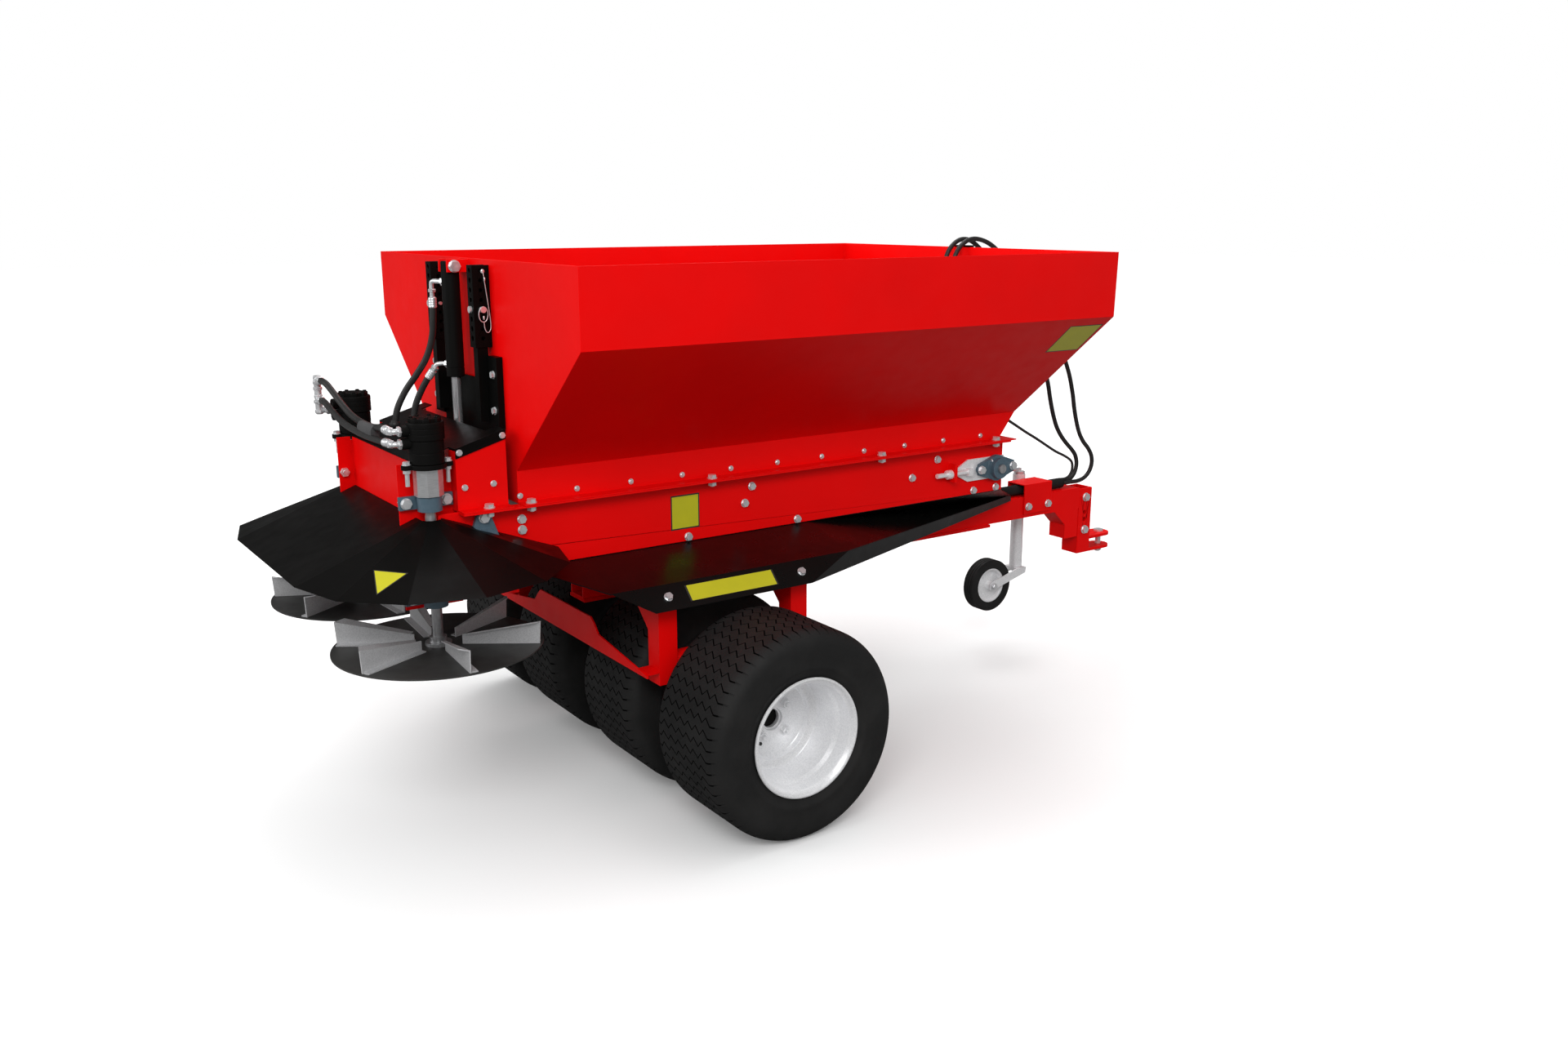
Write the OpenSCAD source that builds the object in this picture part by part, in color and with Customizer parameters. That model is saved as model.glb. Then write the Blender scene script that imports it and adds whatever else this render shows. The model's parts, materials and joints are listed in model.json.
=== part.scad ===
// Towed twin-disc garden and turf spreader: hopper, conveyor belt, two
// spinning discs, four wheels on two swinging axles, drawbar and jockey wheel.
// Frame: +X forward towards the hitch, +Y to the machine's left, +Z up,
// origin on the ground below the middle of the machine. Millimetres.

/* [Hopper] */
// Half width of the hopper at its rim
hopper_half_w = 686; // [650:1:700]
// Height of the rim above the ground
rim_z = 1533; // [1480:1:1560]
// Height at which the upright rim band meets the sloping sides
band_z = 1337; // [1300:1:1380]
// Height at which the sloping sides meet the upright skirt
skirt_z = 992; // [970:1:1010]
// Sheet thickness of the hopper
sheet = 4; // [3:0.5:6]
// Number of screws along each skirt
screw_count = 11; // [7:1:13]

/* [Chassis and belt] */
// Half width over the chassis side plates
chassis_half_w = 290; // [280:1:300]
// Height of the top of the chassis side plates
chassis_top_z = 904; // [890:1:910]
// Height of the bottom of the chassis side plates
chassis_low_z = 729; // [715:1:740]
// Radius of the belt rollers
roller_r = 60; // [50:1:65]
// Thickness of the conveyor belt
belt_t = 3; // [2:0.5:5]
// Distance between the bolts of a belt bearing
bearing_bolt_span = 144; // [130:1:150]

/* [Gate] */
// Furthest that the gate lifts
gate_travel = 85; // [40:1:85]
// Half width of the discharge opening in the rear wall
outlet_half_w = 150; // [100:1:150]

/* [Spinners] */
// Distance of each spinner axis from the centre plane
spin_y = 286; // [280:1:290]
// Radius of the spinning discs
disc_r = 268; // [240:1:275]
// Height of the discs above the ground
disc_z = 559; // [540:1:580]
// Number of vanes on each disc
vane_count = 6; // [4:1:6]
// Diameter of the spinner shafts
shaft_d = 28; // [25:1:30]

/* [Running gear] */
// Outer diameter of the tyres
tyre_d = 591; // [570:1:600]
// Width of the tyres
tyre_w = 310; // [290:1:312]
// Distance between the two wheels of a pair
pair_pitch = 444; // [440:1:450]
// Distance of each wheel pair from the centre plane
pair_y = 458.5; // [450:0.5:465]
// Height of the swing axle's pivot above the ground
pivot_z = 440; // [430:1:450]
// Diameter of the swing pivot pins
pivot_d = 40; // [30:1:44]

/* [Drawbar and jockey wheel] */
// Width and height of the drawbar tube
drawbar_w = 80; // [70:1:80]
// Height of the top of the drawbar
drawbar_z = 610; // [600:1:612]
// Diameter of the hitch pin
hitch_pin_d = 22; // [19:1:24]
// Diameter of the jockey wheel
jockey_d = 200; // [180:1:220]
// Outer diameter of the jockey wheel's tube
jockey_tube_d = 48; // [46:1:50]

/* [Hidden] */
$fn = 48;

// Colours
red = [0.80, 0.03, 0.03];
black = [0.06, 0.06, 0.06];
rubber = [0.05, 0.05, 0.05];
zinc = [0.75, 0.76, 0.78];
steel = [0.60, 0.61, 0.63];
cast_blue = [0.24, 0.33, 0.39];

// X of the axle line, which puts the origin at the middle of the length
axle_x = -474;

// Hopper: distances forward of the axle
wall_rear_x = -551;
wall_front_x = 1278;
wall_front_low_x = 1260;
mouth_front_x = 1190;
skirt_half_w = chassis_half_w - 4;
flange_half_w = 330;
flange_t = 4;
flange_front_x = 1232;
outlet_top_z = 1090;
screw_pitch = 165;
screw_z = 925;
// Ratio of run to rise of the sloping sides
side_run = (hopper_half_w - skirt_half_w) / (band_z - skirt_z);
// Sideways inset that leaves the sheet's thickness on the sloping sides
side_inset = sheet * sqrt(1 + side_run * side_run);
// The same for the front wall's upper and lower stretches
front_run = (wall_front_x - wall_front_low_x) / (rim_z - skirt_z);
mouth_run = (wall_front_low_x - mouth_front_x) / (skirt_z - chassis_top_z);
mouth_inset = sheet * sqrt(1 + mouth_run * mouth_run);

// Chassis and belt
chassis_rear_x = -772;
chassis_front_x = 1208;
plate_t = 5;
drive_x = -655;
tension_x = 1167;
roller_z = 812;
roller_half_w = 262;
belt_gap = 0.3;
bed_top_z = roller_z + roller_r;
bearing_face_y = chassis_half_w + 6;
tension_rod_y = chassis_half_w + 16;
belt_shaft_r = 15;
running_gap = 0.05;

// Rear chute box
box_rear_x = -815;
box_step_x = -718;
box_front_x = -580;
bearing_plate_x0 = -857;
bearing_plate_x1 = -703;
bearing_plate_y = 250;
bearing_plate_z0 = 655;
motor_clear_r = 50;
box_top_z = 1036;

// Gate and cylinder
rail_y0 = 131;
rail_y1 = 168;
rail_x0 = -598;
rail_z0 = 1306;
rail_z1 = 1519;
rail_wall = 3;
gate_x0 = -562;
gate_x1 = -557;
gate_half_w = 172;
gate_z0 = 880;
gate_z1 = 1217;
bar_top_z = 1310;
hole_pitch = 25;
// Height of the top hole of each rail; the stop pin sits in the fifth hole
top_hole_z = rail_z1 - 14;
pin_z = top_hole_z - 4 * hole_pitch;
ram_x = -592;
barrel_r = 24;
barrel_z0 = 1215;
barrel_z1 = 1525;
rod_r = 12.5;
piston_r = 18.95;
piston_top_z = 1352;

// Spinners
spin_x = -790;
shaft_r = shaft_d / 2;
bearing_z_upper = 937;
bearing_z_lower = 685;
motor_z = 1028;
hood_z = 773;
hood_h = 132;
hood_r = 347;
vane_lead = 266;

// Running gear
tyre_r = tyre_d / 2;
axle_z = tyre_r;
rim_r = 168;
bead_r = 152.4;
well_r = 138;
wheel_offset = pair_pitch / 2;
disc_offset = 25;
stub_r = 20;
// End of each stub axle, inside the closed hub
stub_end = wheel_offset - 40;
post_y0 = 433;
post_y1 = 493;
post_z0 = 394;
rear_post_x0 = -254;
rear_post_x1 = -197;
front_post_x0 = 183;
front_post_x1 = 240;
beam_z1 = 672;
brace_x = -292;

// Belt guards
guard_in_y = chassis_half_w - 6;
guard_fold_y = 496;
guard_fold_z = 680;
guard_low_z = 623;
// The lower strip slopes outwards at 45 degrees
guard_low_y = guard_fold_y + guard_fold_z - guard_low_z;
guard_t = 3;
// Sum of the distance from the centre plane and the height, along the wedges' sloping face
wedge_y = guard_fold_y + guard_fold_z - guard_t - 0.5;
wedge_z = guard_low_z + 3;

// Drawbar, hitch and jockey wheel
drawbar_z0 = drawbar_z - drawbar_w;
drawbar_x0 = -254;
drawbar_x1 = 1880;
cross_bar_z = chassis_low_z + plate_t;
saddle_x0 = 1574;
saddle_x1 = 1718;
saddle_top_z = 658;
sleeve_z = 631;
sleeve_r = 20;
hitch_x0 = 1880;
hitch_x1 = 1950;
hitch_z0 = 345;
hitch_z1 = 605;
hitch_bolt_z = [569, 439];
hitch_hole_z = [507, 479];
hitch_hole_r = 8.5;
clevis_x = 2045;
clevis_r = 40;
jockey_x = 1664;
jockey_y = 76;
jockey_z = 254;
jockey_trail = 150;

// Hose routes: x, y, z of each point, forward of the axle
supply_d = 16;
drain_d = 10;
supply_route = [[1816, -8, 631], [1856, -8, 630], [1898, -9, 630], [1932, -11, 639], [1956, -14, 662],
    [1965, -17, 695], [1957, -19, 728], [1935, -20, 758], [1906, -21, 786], [1882, -21, 820],
    [1864, -20, 864], [1848, -19, 920], [1834, -18, 984], [1806, -16, 1070], [1742, -14, 1190],
    [1652, -12, 1304], [1554, -10, 1404], [1470, -8, 1482], [1396, -8, 1536], [1336, -8, 1558],
    [1284, -8, 1557], [1240, -8, 1530], [1216, -8, 1486], [1208, -8, 1430]];
return_route = [[1816, 10, 631], [1850, 10, 631], [1882, 11, 640], [1905, 13, 663], [1914, 15, 695],
    [1906, 17, 727], [1886, 19, 752], [1858, 21, 778], [1830, 23, 808], [1804, 25, 846],
    [1783, 26, 894], [1764, 27, 954], [1740, 28, 1040], [1682, 29, 1172], [1606, 30, 1284],
    [1522, 31, 1382], [1444, 32, 1464], [1380, 32, 1522], [1328, 32, 1554], [1280, 32, 1557],
    [1238, 32, 1532], [1214, 32, 1488], [1206, 32, 1430]];
drain_route = [[1816, 0, 645], [1836, 0, 645], [1856, 0, 651], [1870, 0, 666], [1875, 0, 686],
    [1870, 0, 706], [1854, 1, 721], [1822, 1, 738], [1780, 2, 757], [1730, 3, 785],
    [1676, 4, 816], [1620, 5, 846], [1564, 6, 878], [1508, 7, 910], [1452, 8, 944],
    [1400, 9, 976], [1354, 10, 1004], [1314, 10, 1024], [1286, 10, 1030]];
motor_hose_d = 18;
motor_hose_a = [[-870, 332, 1188], [-870, 300, 1191], [-868, 262, 1186], [-864, 214, 1166],
    [-860, 160, 1142], [-857, 100, 1122], [-856, 30, 1112], [-857, -40, 1110],
    [-862, -112, 1114], [-870, -190, 1124], [-874, -256, 1126]];
motor_hose_b = [[-870, 332, 1132], [-873, 296, 1136], [-876, 250, 1132], [-877, 190, 1118],
    [-877, 130, 1104], [-877, 70, 1096], [-877, 0, 1092], [-877, -80, 1090],
    [-876, -170, 1091], [-874, -256, 1094]];
ram_hose_d = 14;
ram_hose_a = [[-622, 64, 1424], [-622, 66, 1380], [-626, 72, 1320], [-640, 88, 1262],
    [-664, 112, 1212], [-690, 132, 1168], [-714, 140, 1118], [-724, 142, 1069]];
ram_hose_b = [[-622, 64, 1206], [-623, 66, 1190], [-632, 76, 1168], [-650, 95, 1139],
    [-668, 108, 1109], [-680, 112, 1082]];

// Helpers
module at_axle() translate([axle_x, 0, 0]) children();
module both_sides() {
    children();
    mirror([0, 1, 0]) children();
}
module span(x, y, z) translate([x[0], y[0], z[0]]) cube([x[1] - x[0], y[1] - y[0], z[1] - z[0]]);
module rod_x(x0, x1, y, z, r) translate([x0, y, z]) rotate([0, 90, 0]) cylinder(r = r, h = x1 - x0);
module rod_y(y0, y1, x, z, r) translate([x, y1, z]) rotate([90, 0, 0]) cylinder(r = r, h = y1 - y0);
module rod_z(z0, z1, x, y, r) translate([x, y, z0]) cylinder(r = r, h = z1 - z0);
// A side outline in x and z, as thick as y says
module side_plate(points, y) translate([0, y[1], 0]) rotate([90, 0, 0])
    linear_extrude(y[1] - y[0]) polygon(points);
// An end outline in y and z, as thick as x says
module end_plate(points, x) translate([x[0], 0, 0]) rotate([90, 0, 90])
    linear_extrude(x[1] - x[0]) polygon(points);
// A thin flat panel with the given corners, as thick as the vector
module panel(outline, thickness) {
    n = len(outline);
    facing = cross(outline[1] - outline[0], outline[2] - outline[0]) * thickness;
    corners = facing > 0 ? outline : [for (i = [n - 1 : -1 : 0]) outline[i]];
    polyhedron(points = concat(corners, [for (p = corners) p + thickness]),
        faces = concat([[for (i = [0 : n - 1]) i]], [[for (i = [n - 1 : -1 : 0]) i + n]],
            [for (i = [0 : n - 1]) [i, i + n, (i + 1) % n + n, (i + 1) % n]]), convexity = 4);
}
// Bolt with its washer and hex head standing on z = 0, shank downwards, and a nut
module bolt(r, grip, tail = 0) {
    cylinder(r = 2.1 * r, h = 0.35 * r);
    translate([0, 0, 0.35 * r]) cylinder(r = 1.85 * r, h = 1.2 * r, $fn = 6);
    translate([0, 0, -grip - tail]) cylinder(r = r, h = grip + tail + 0.4 * r);
    if (tail > 0) translate([0, 0, -grip - 1.6 * r]) cylinder(r = 1.85 * r, h = 1.6 * r, $fn = 6);
}
module bolt_out(x, y, z, r, grip, tail = 0) translate([x, y, z]) rotate([90, 0, 0]) bolt(r, grip, tail);
function unit(v) = v / norm(v);
function tangent(p, i) = unit(p[min(i + 1, len(p) - 1)] - p[max(i - 1, 0)]);
// Hose along the points of its route, with flat ends
module hose(route, r, side_ref, sides = 8) {
    rings = [for (i = [0 : len(route) - 1]) let (t = tangent(route, i),
        u = unit(cross(t, side_ref)), v = cross(t, u))
        for (k = [0 : sides - 1]) let (a = 360 * k / sides) route[i] + r * (cos(a) * u + sin(a) * v)];
    last = (len(route) - 1) * sides;
    polyhedron(points = rings, faces = concat([[for (k = [sides - 1 : -1 : 0]) k]],
        [[for (k = [0 : sides - 1]) last + k]],
        [for (i = [0 : len(route) - 2]) for (k = [0 : sides - 1]) let (a = i * sides, n = (k + 1) % sides)
            [a + k, a + n, a + n + sides]],
        [for (i = [0 : len(route) - 2]) for (k = [0 : sides - 1]) let (a = i * sides, n = (k + 1) % sides)
            [a + k, a + n + sides, a + k + sides]]), convexity = 6);
}

// ---- Hopper ----
module hopper_body(inner) {
    side = inner ? side_inset : 0;
    front = inner ? sheet : 0;
    mouth = inner ? mouth_inset : 0;
    skirt = skirt_half_w - (inner ? sheet : 0);
    wide = hopper_half_w - (inner ? sheet : 0);
    z0 = chassis_top_z - (inner ? 1 : 0);
    z1 = rim_z + (inner ? 1 : 0);
    slope_low = skirt_z + (skirt + side - skirt_half_w) / side_run;
    slope_high = skirt_z + (wide + side - skirt_half_w) / side_run;
    half = [[skirt, z0], [skirt, slope_low], [wide, slope_high], [wide, z1]];
    ends = [[wall_rear_x + front, z0],
        [mouth_front_x - mouth - (inner ? mouth_run : 0), z0],
        [wall_front_low_x - mouth, skirt_z],
        [wall_front_x - front - front_run, z1],
        [wall_rear_x + front, z1]];
    intersection() {
        end_plate(concat(half, [for (i = [3 : -1 : 0]) [-half[i][0], half[i][1]]]), [-600, 1300]);
        side_plate(ends, [-700, 700]);
    }
}
module hopper() color(red) at_axle() {
    difference() {
        union() {
            hopper_body(false);
            // Flange that rests on the chassis, and the front flange
            both_sides() span([wall_rear_x, mouth_front_x], [skirt_half_w - 2, flange_half_w],
                [chassis_top_z, chassis_top_z + flange_t]);
            span([mouth_front_x - 3, flange_front_x], [-flange_half_w, flange_half_w],
                [chassis_top_z, chassis_top_z + flange_t]);
        }
        hopper_body(true);
        span([wall_rear_x - 1, wall_rear_x + sheet + 1], [-outlet_half_w, outlet_half_w],
            [chassis_top_z - 1, outlet_top_z]);
    }
    // Bracket that hangs the gate cylinder from the rear wall
    both_sides() span([ram_x - 20, wall_rear_x + 1], [barrel_r + 2, barrel_r + 8], [1496, rim_z - 3]);
}
module hopper_screws() color(zinc) at_axle() both_sides()
    for (i = [0 : screw_count - 1]) translate([-546 + screw_pitch * i, -skirt_half_w, screw_z])
        rotate([90, 0, 0]) {
            cylinder(r = 8, h = 3, $fn = 24);
            cylinder(r = 5.5, h = 7, $fn = 6);
            translate([0, 0, -12]) cylinder(r = 3, h = 12, $fn = 24);
        }

// ---- Chassis, belt and rollers ----
module chassis_sides() color(red) at_axle() both_sides() {
    difference() {
        union() {
            span([chassis_rear_x, chassis_front_x], [-chassis_half_w, -chassis_half_w + plate_t],
                [chassis_low_z, chassis_top_z]);
            span([-718, chassis_front_x], [-flange_half_w, -chassis_half_w + plate_t],
                [chassis_top_z - plate_t, chassis_top_z]);
            span([chassis_rear_x, chassis_front_x], [-chassis_half_w, -chassis_half_w + 38],
                [chassis_low_z, chassis_low_z + plate_t]);
        }
        rod_y(-chassis_half_w - 1, -chassis_half_w + plate_t + 1, drive_x, roller_z, 30);
        span([tension_x - 80, chassis_front_x + 1], [-chassis_half_w - 1, -chassis_half_w + plate_t + 1],
            [roller_z - 24, roller_z + 24]);
    }
    // Lug that the tension rod pulls against
    difference() {
        span([962, 974], [-chassis_half_w - 34, -chassis_half_w + 1], [roller_z - 26, roller_z + 34]);
        rod_x(961, 975, -tension_rod_y, roller_z, 8.5);
    }
}
module belt_bed() color(steel) at_axle() {
    span([-575, 1085], [-270, 270], [bed_top_z - 4, bed_top_z - 0.2]);
    for (x = [-520, -20, 480, 980])
        difference() {
            span([x, x + 40], [-chassis_half_w + plate_t, chassis_half_w - plate_t],
                [bed_top_z - 44, bed_top_z - 4]);
            span([x + 3, x + 37], [-300, 300], [bed_top_z - 41, bed_top_z - 7]);
        }
}
module belt_loop(r, half_w) {
    rod_y(-half_w, half_w, drive_x, roller_z, r);
    rod_y(-half_w, half_w, tension_x, roller_z, r);
    span([drive_x, tension_x], [-half_w, half_w], [roller_z - r, roller_z + r]);
}
module conveyor_belt() color(rubber) at_axle() difference() {
    belt_loop(roller_r + belt_gap + belt_t, roller_half_w - 4);
    belt_loop(roller_r + belt_gap, roller_half_w);
}
module roller(x, shaft_y0, shaft_y1) at_axle() {
    rod_y(-roller_half_w, roller_half_w, x, roller_z, roller_r);
    rod_y(shaft_y0, shaft_y1, x, roller_z, belt_shaft_r);
}
module drive_roller() color(steel) roller(drive_x, -338, 352);
module tension_roller() color(steel) roller(tension_x, -338, 338);
// Two-bolt flange bearing with its flange on the plane y = 0, body towards -y
module flange_bearing(upright) rotate([0, upright ? 90 : 0, 0]) difference() {
    union() {
        rod_y(-16, 0, 0, 0, 44);
        rod_y(-34, 0, 0, 0, 35);
        for (s = [-1, 1]) rod_y(-13, 0, s * bearing_bolt_span / 2, 0, 14.5);
        side_plate([[-bearing_bolt_span / 2 - 8, 18], [-20, 39], [20, 39], [bearing_bolt_span / 2 + 8, 18],
            [bearing_bolt_span / 2 + 8, -18], [20, -39], [-20, -39], [-bearing_bolt_span / 2 - 8, -18]],
            [-13, 0]);
    }
    rod_y(-35, 1, 0, 0, belt_shaft_r + running_gap);
    for (s = [-1, 1]) rod_y(-14, 1, s * bearing_bolt_span / 2, 0, 7.2);
}
module belt_bearings() color(cast_blue) at_axle() both_sides() {
    translate([drive_x, -chassis_half_w, roller_z]) flange_bearing(true);
    translate([tension_x, -bearing_face_y, roller_z]) flange_bearing(false);
}
module belt_tensioners() color(zinc) at_axle() both_sides() {
    difference() {
        side_plate([[1000, 800], [1000, 826], [1045, 850], [1208, 850], [1208, 776], [1045, 776]],
            [-bearing_face_y, -chassis_half_w]);
        rod_y(-bearing_face_y - 1, -chassis_half_w + 1, tension_x, roller_z, 24);
        for (s = [-1, 1]) rod_y(-bearing_face_y - 1, -chassis_half_w + 1,
            tension_x + s * bearing_bolt_span / 2, roller_z, 7.2);
    }
    // Tension rod with its two nuts and the lug that it screws into
    rod_x(900, 1046, -tension_rod_y, roller_z, 8);
    rod_x(944, 962, -tension_rod_y, roller_z, 15);
    span([1030, 1050], [-318, -bearing_face_y], [roller_z - 12, roller_z + 12]);
}
module belt_motor() color(black) at_axle() difference() {
    union() {
        rod_y(336, 352, drive_x, roller_z, 46);
        rod_y(352, 436, drive_x, roller_z, 40);
        rod_y(436, 448, drive_x, roller_z, 36);
        span([drive_x - 16, drive_x + 16], [372, 404], [roller_z - 56, roller_z]);
    }
    rod_y(335, 362, drive_x, roller_z, belt_shaft_r + running_gap);
}

// ---- Rear chute, hood and belt guards ----
// Space that a spinner motor takes above its flange
module motor_room() both_sides() rod_z(motor_z - 2, 1300, spin_x, -spin_y, motor_clear_r);
module chute_box() color(red) at_axle() {
    // Rear plate
    difference() {
        span([box_rear_x, box_rear_x + plate_t], [-bearing_plate_y + plate_t, bearing_plate_y - plate_t],
            [896, box_top_z]);
        motor_room();
    }
    both_sides() {
        // Plate that carries both bearings of a spinner shaft
        difference() {
            span([bearing_plate_x0, bearing_plate_x1], [-bearing_plate_y, -bearing_plate_y + plate_t],
                [bearing_plate_z0, box_top_z]);
            motor_room();
            // Room for the belt round the drive roller
            span([-726, bearing_plate_x1 + 1], [-bearing_plate_y - 1, -bearing_plate_y + 6], [738, 888]);
        }
        // Side plate with a sloping top, its step and its foot
        side_plate([[box_step_x, chassis_top_z], [box_step_x, 1062], [box_front_x, 1102],
            [box_front_x, chassis_top_z]], [-chassis_half_w, -chassis_half_w + plate_t]);
        span([box_step_x, box_step_x + plate_t], [-chassis_half_w, -bearing_plate_y + plate_t],
            [chassis_top_z, 1060]);
        span([box_step_x, box_front_x], [-flange_half_w, -chassis_half_w + plate_t],
            [chassis_top_z, chassis_top_z + plate_t]);
    }
}
module chute_cover() color(black) at_axle() {
    slope = (1102 - 1062) / (box_front_x - box_step_x);
    rear_z = 1062 + slope * (box_rear_x - box_step_x);
    // Sloping lid with a notch that clears the gate and its cylinder
    difference() {
        panel([[box_rear_x, -chassis_half_w, rear_z + 3], [box_rear_x, chassis_half_w, rear_z + 3],
            [box_front_x, chassis_half_w, 1105], [box_front_x, -chassis_half_w, 1105]], [0, 0, 3]);
        span([-612, box_front_x + 1], [-236, 236], [1080, 1120]);
        both_sides() span([box_rear_x - 1, box_step_x], [-chassis_half_w - 1, -bearing_plate_y],
            [1020, 1080]);
        motor_room();
    }
    both_sides() panel([[box_step_x, -chassis_half_w - 3, 1068], [box_front_x, -chassis_half_w - 3, 1108],
        [box_front_x, -chassis_half_w - 3, 1082], [box_step_x, -chassis_half_w - 3, 1042]], [0, 3, 0]);
}
module hood_form(drop) hull() for (s = [-1, 1]) translate([spin_x, s * spin_y, hood_z - drop])
    cylinder(r1 = hood_r, r2 = 3, h = hood_h, $fn = 12);
module spinner_hood() color(black) at_axle() difference() {
    hood_form(0);
    hood_form(3);
    // Open over the belt and the chute
    span([box_rear_x - 1, 0], [-chassis_half_w - 1, chassis_half_w + 1], [700, 1000]);
    both_sides() {
        span([bearing_plate_x0 - 2, spin_x], [-bearing_plate_y - 1, -bearing_plate_y + plate_t + 1],
            [700, 1000]);
        rod_z(700, 1000, spin_x, -spin_y, 26);
        span([drive_x - 32, drive_x + 32], [-chassis_half_w - 38, -chassis_half_w], [700, 1000]);
        rod_y(-chassis_half_w - 38, -chassis_half_w, drive_x, roller_z, 47);
    }
    span([drive_x - 52, drive_x + 52], [chassis_half_w, 452], [700, 1000]);
}
// Sloping panels that keep spread material off the wheels
module belt_guards() color(black) at_axle() both_sides() {
    down = [0, 0, -guard_t];
    inward = [-1, guard_t, 0];
    top_z = chassis_low_z - 0.3;
    inner_rear = [-419, -guard_in_y, top_z];
    inner_mid = [390, -guard_in_y, top_z];
    inner_front = [chassis_front_x, -guard_in_y, top_z];
    fold_rear = [-397, -guard_fold_y, guard_fold_z];
    fold_front = [390, -guard_fold_y, guard_fold_z];
    low_rear = [-294, -guard_low_y, guard_low_z];
    low_front = [216, -guard_low_y, guard_low_z];
    nose_top = [1498, -50, 630];
    nose_low = [1498, -50, 608];
    // Rear corner of the sloping panel, a quarter of the way down it
    corner = inner_rear + [-91, 0, 0] + (fold_rear - [fold_rear[0], -guard_in_y, top_z]) / 4;
    panel([inner_rear, corner, fold_rear, fold_front, inner_mid], down);
    panel([inner_mid, fold_front, nose_top], down);
    panel([inner_mid, nose_top, inner_front], down);
    panel([fold_rear, low_rear, low_front, fold_front], [0, guard_t, 0]);
    panel([fold_front, low_front, nose_top], inward);
    panel([low_front, nose_low, nose_top], inward);
}

// ---- Gate and its cylinder ----
module gate_rails() color(black) at_axle() both_sides() difference() {
    span([rail_x0, wall_rear_x], [-rail_y1, -rail_y0], [rail_z0, rail_z1]);
    span([rail_x0 + rail_wall, wall_rear_x + 1], [-rail_y1 + rail_wall, -rail_y0 - rail_wall],
        [rail_z0 - 1, rail_z1 + 1]);
    for (z = [top_hole_z : -hole_pitch : rail_z0 + 18]) {
        rod_x(rail_x0 - 1, rail_x0 + rail_wall + 1, -(rail_y0 + rail_y1) / 2, z, 7);
        rod_y(-rail_y1 - 1, -rail_y0 + 1, rail_x0 + 22, z, 5);
    }
}
module gate_guides() color(black) at_axle() both_sides() {
    span([gate_x0 - 2, wall_rear_x], [-228, -174], [1094, 1285]);
    span([gate_x0 - 7, gate_x0 - 2], [-228, -165], [1094, 1285]);
}
module gate_pins() color(zinc) at_axle() both_sides() {
    rod_y(-rail_y1 - 6, -rail_y0 + 5, rail_x0 + 22, pin_z, 4.8);
    rod_y(-rail_y1 - 12, -rail_y1, rail_x0 + 22, pin_z, 8);
    rod_x(rail_x0 - 6, rail_x0, -(rail_y0 + rail_y1) / 2, pin_z, 9);
}
module gate_plate() color(black) at_axle() {
    span([gate_x0, gate_x1], [-gate_half_w, gate_half_w], [gate_z0, gate_z1]);
    both_sides() span([rail_x0 + 6, gate_x0], [-rail_y1 + 4.5, -rail_y0 - 4.5], [1110, bar_top_z]);
    difference() {
        span([ram_x - 18, gate_x0], [-16, 16], [960, 1012]);
        rod_z(980, 1013, ram_x, 0, rod_r);
    }
}
module cylinder_barrel() color(black) at_axle() difference() {
    union() {
        rod_z(barrel_z0, barrel_z1, ram_x, 0, barrel_r);
        // Ports, each with its elbow and ferrule for a hose
        for (p = [[1462, 1424], [1246, 1206]]) {
            translate([ram_x, 0, p[0]]) rotate([0, 0, 115]) rod_x(0, 71, 0, 0, 9);
            rod_z(p[1], p[0] + 9, -622, 64, 9.5);
        }
    }
    rod_z(barrel_z0 - 1, barrel_z0 + 26, ram_x, 0, rod_r + running_gap);
    rod_z(barrel_z0 + 25, piston_top_z + gate_travel + 53, ram_x, 0, piston_r + running_gap);
}
module cylinder_rod() color(zinc) at_axle() {
    rod_z(980, piston_top_z - 7, ram_x, 0, rod_r);
    rod_z(piston_top_z - 22, piston_top_z, ram_x, 0, piston_r);
}

// ---- Spinner drive ----
module spinner_motors() color(black) at_axle() {
    both_sides() spinner_motor();
    // Elbows on the right motor's ports, and the block of fittings beside the left motor
    for (z = [1094, 1126]) {
        rod_x(-883, -852, -spin_y, z, 11);
        rod_y(-spin_y, -256, -874, z, 9.4);
    }
    span([-884, -856], [332, 360], [1092, 1202]);
    translate([spin_x, spin_y, 1104]) rotate([0, 0, 143]) rod_x(0, 90, 0, 0, 12);
}
module spinner_motor() translate([spin_x, -spin_y, motor_z]) {
    difference() {
        union() {
            cylinder(r = 48, h = 12);
            for (s = [-1, 1]) translate([s * 53, 0, 0]) cylinder(r = 14, h = 12);
            span([-53, 53], [-14, 14], [0, 12]);
        }
        for (s = [-1, 1]) translate([s * 53, 0, -1]) cylinder(r = 5.6, h = 14);
    }
    translate([0, 0, 12]) cylinder(r = 44, h = 62);
    translate([0, 0, 74]) cylinder(r = 47, h = 44);
    translate([0, 0, 118]) cylinder(r = 41, h = 10);
    // Ports that face the rear
    for (z = [66, 98]) translate([0, 0, z]) rod_x(-62, 0, 0, 0, 15);
}
module motor_spacers() color(zinc) at_axle() both_sides() translate([spin_x, -spin_y, 957]) difference() {
    rotate([0, 0, 22.5]) cylinder(r = 34 / cos(22.5), h = motor_z - 957, $fn = 8);
    translate([0, 0, -1]) cylinder(r = 20, h = motor_z - 955);
}
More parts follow.
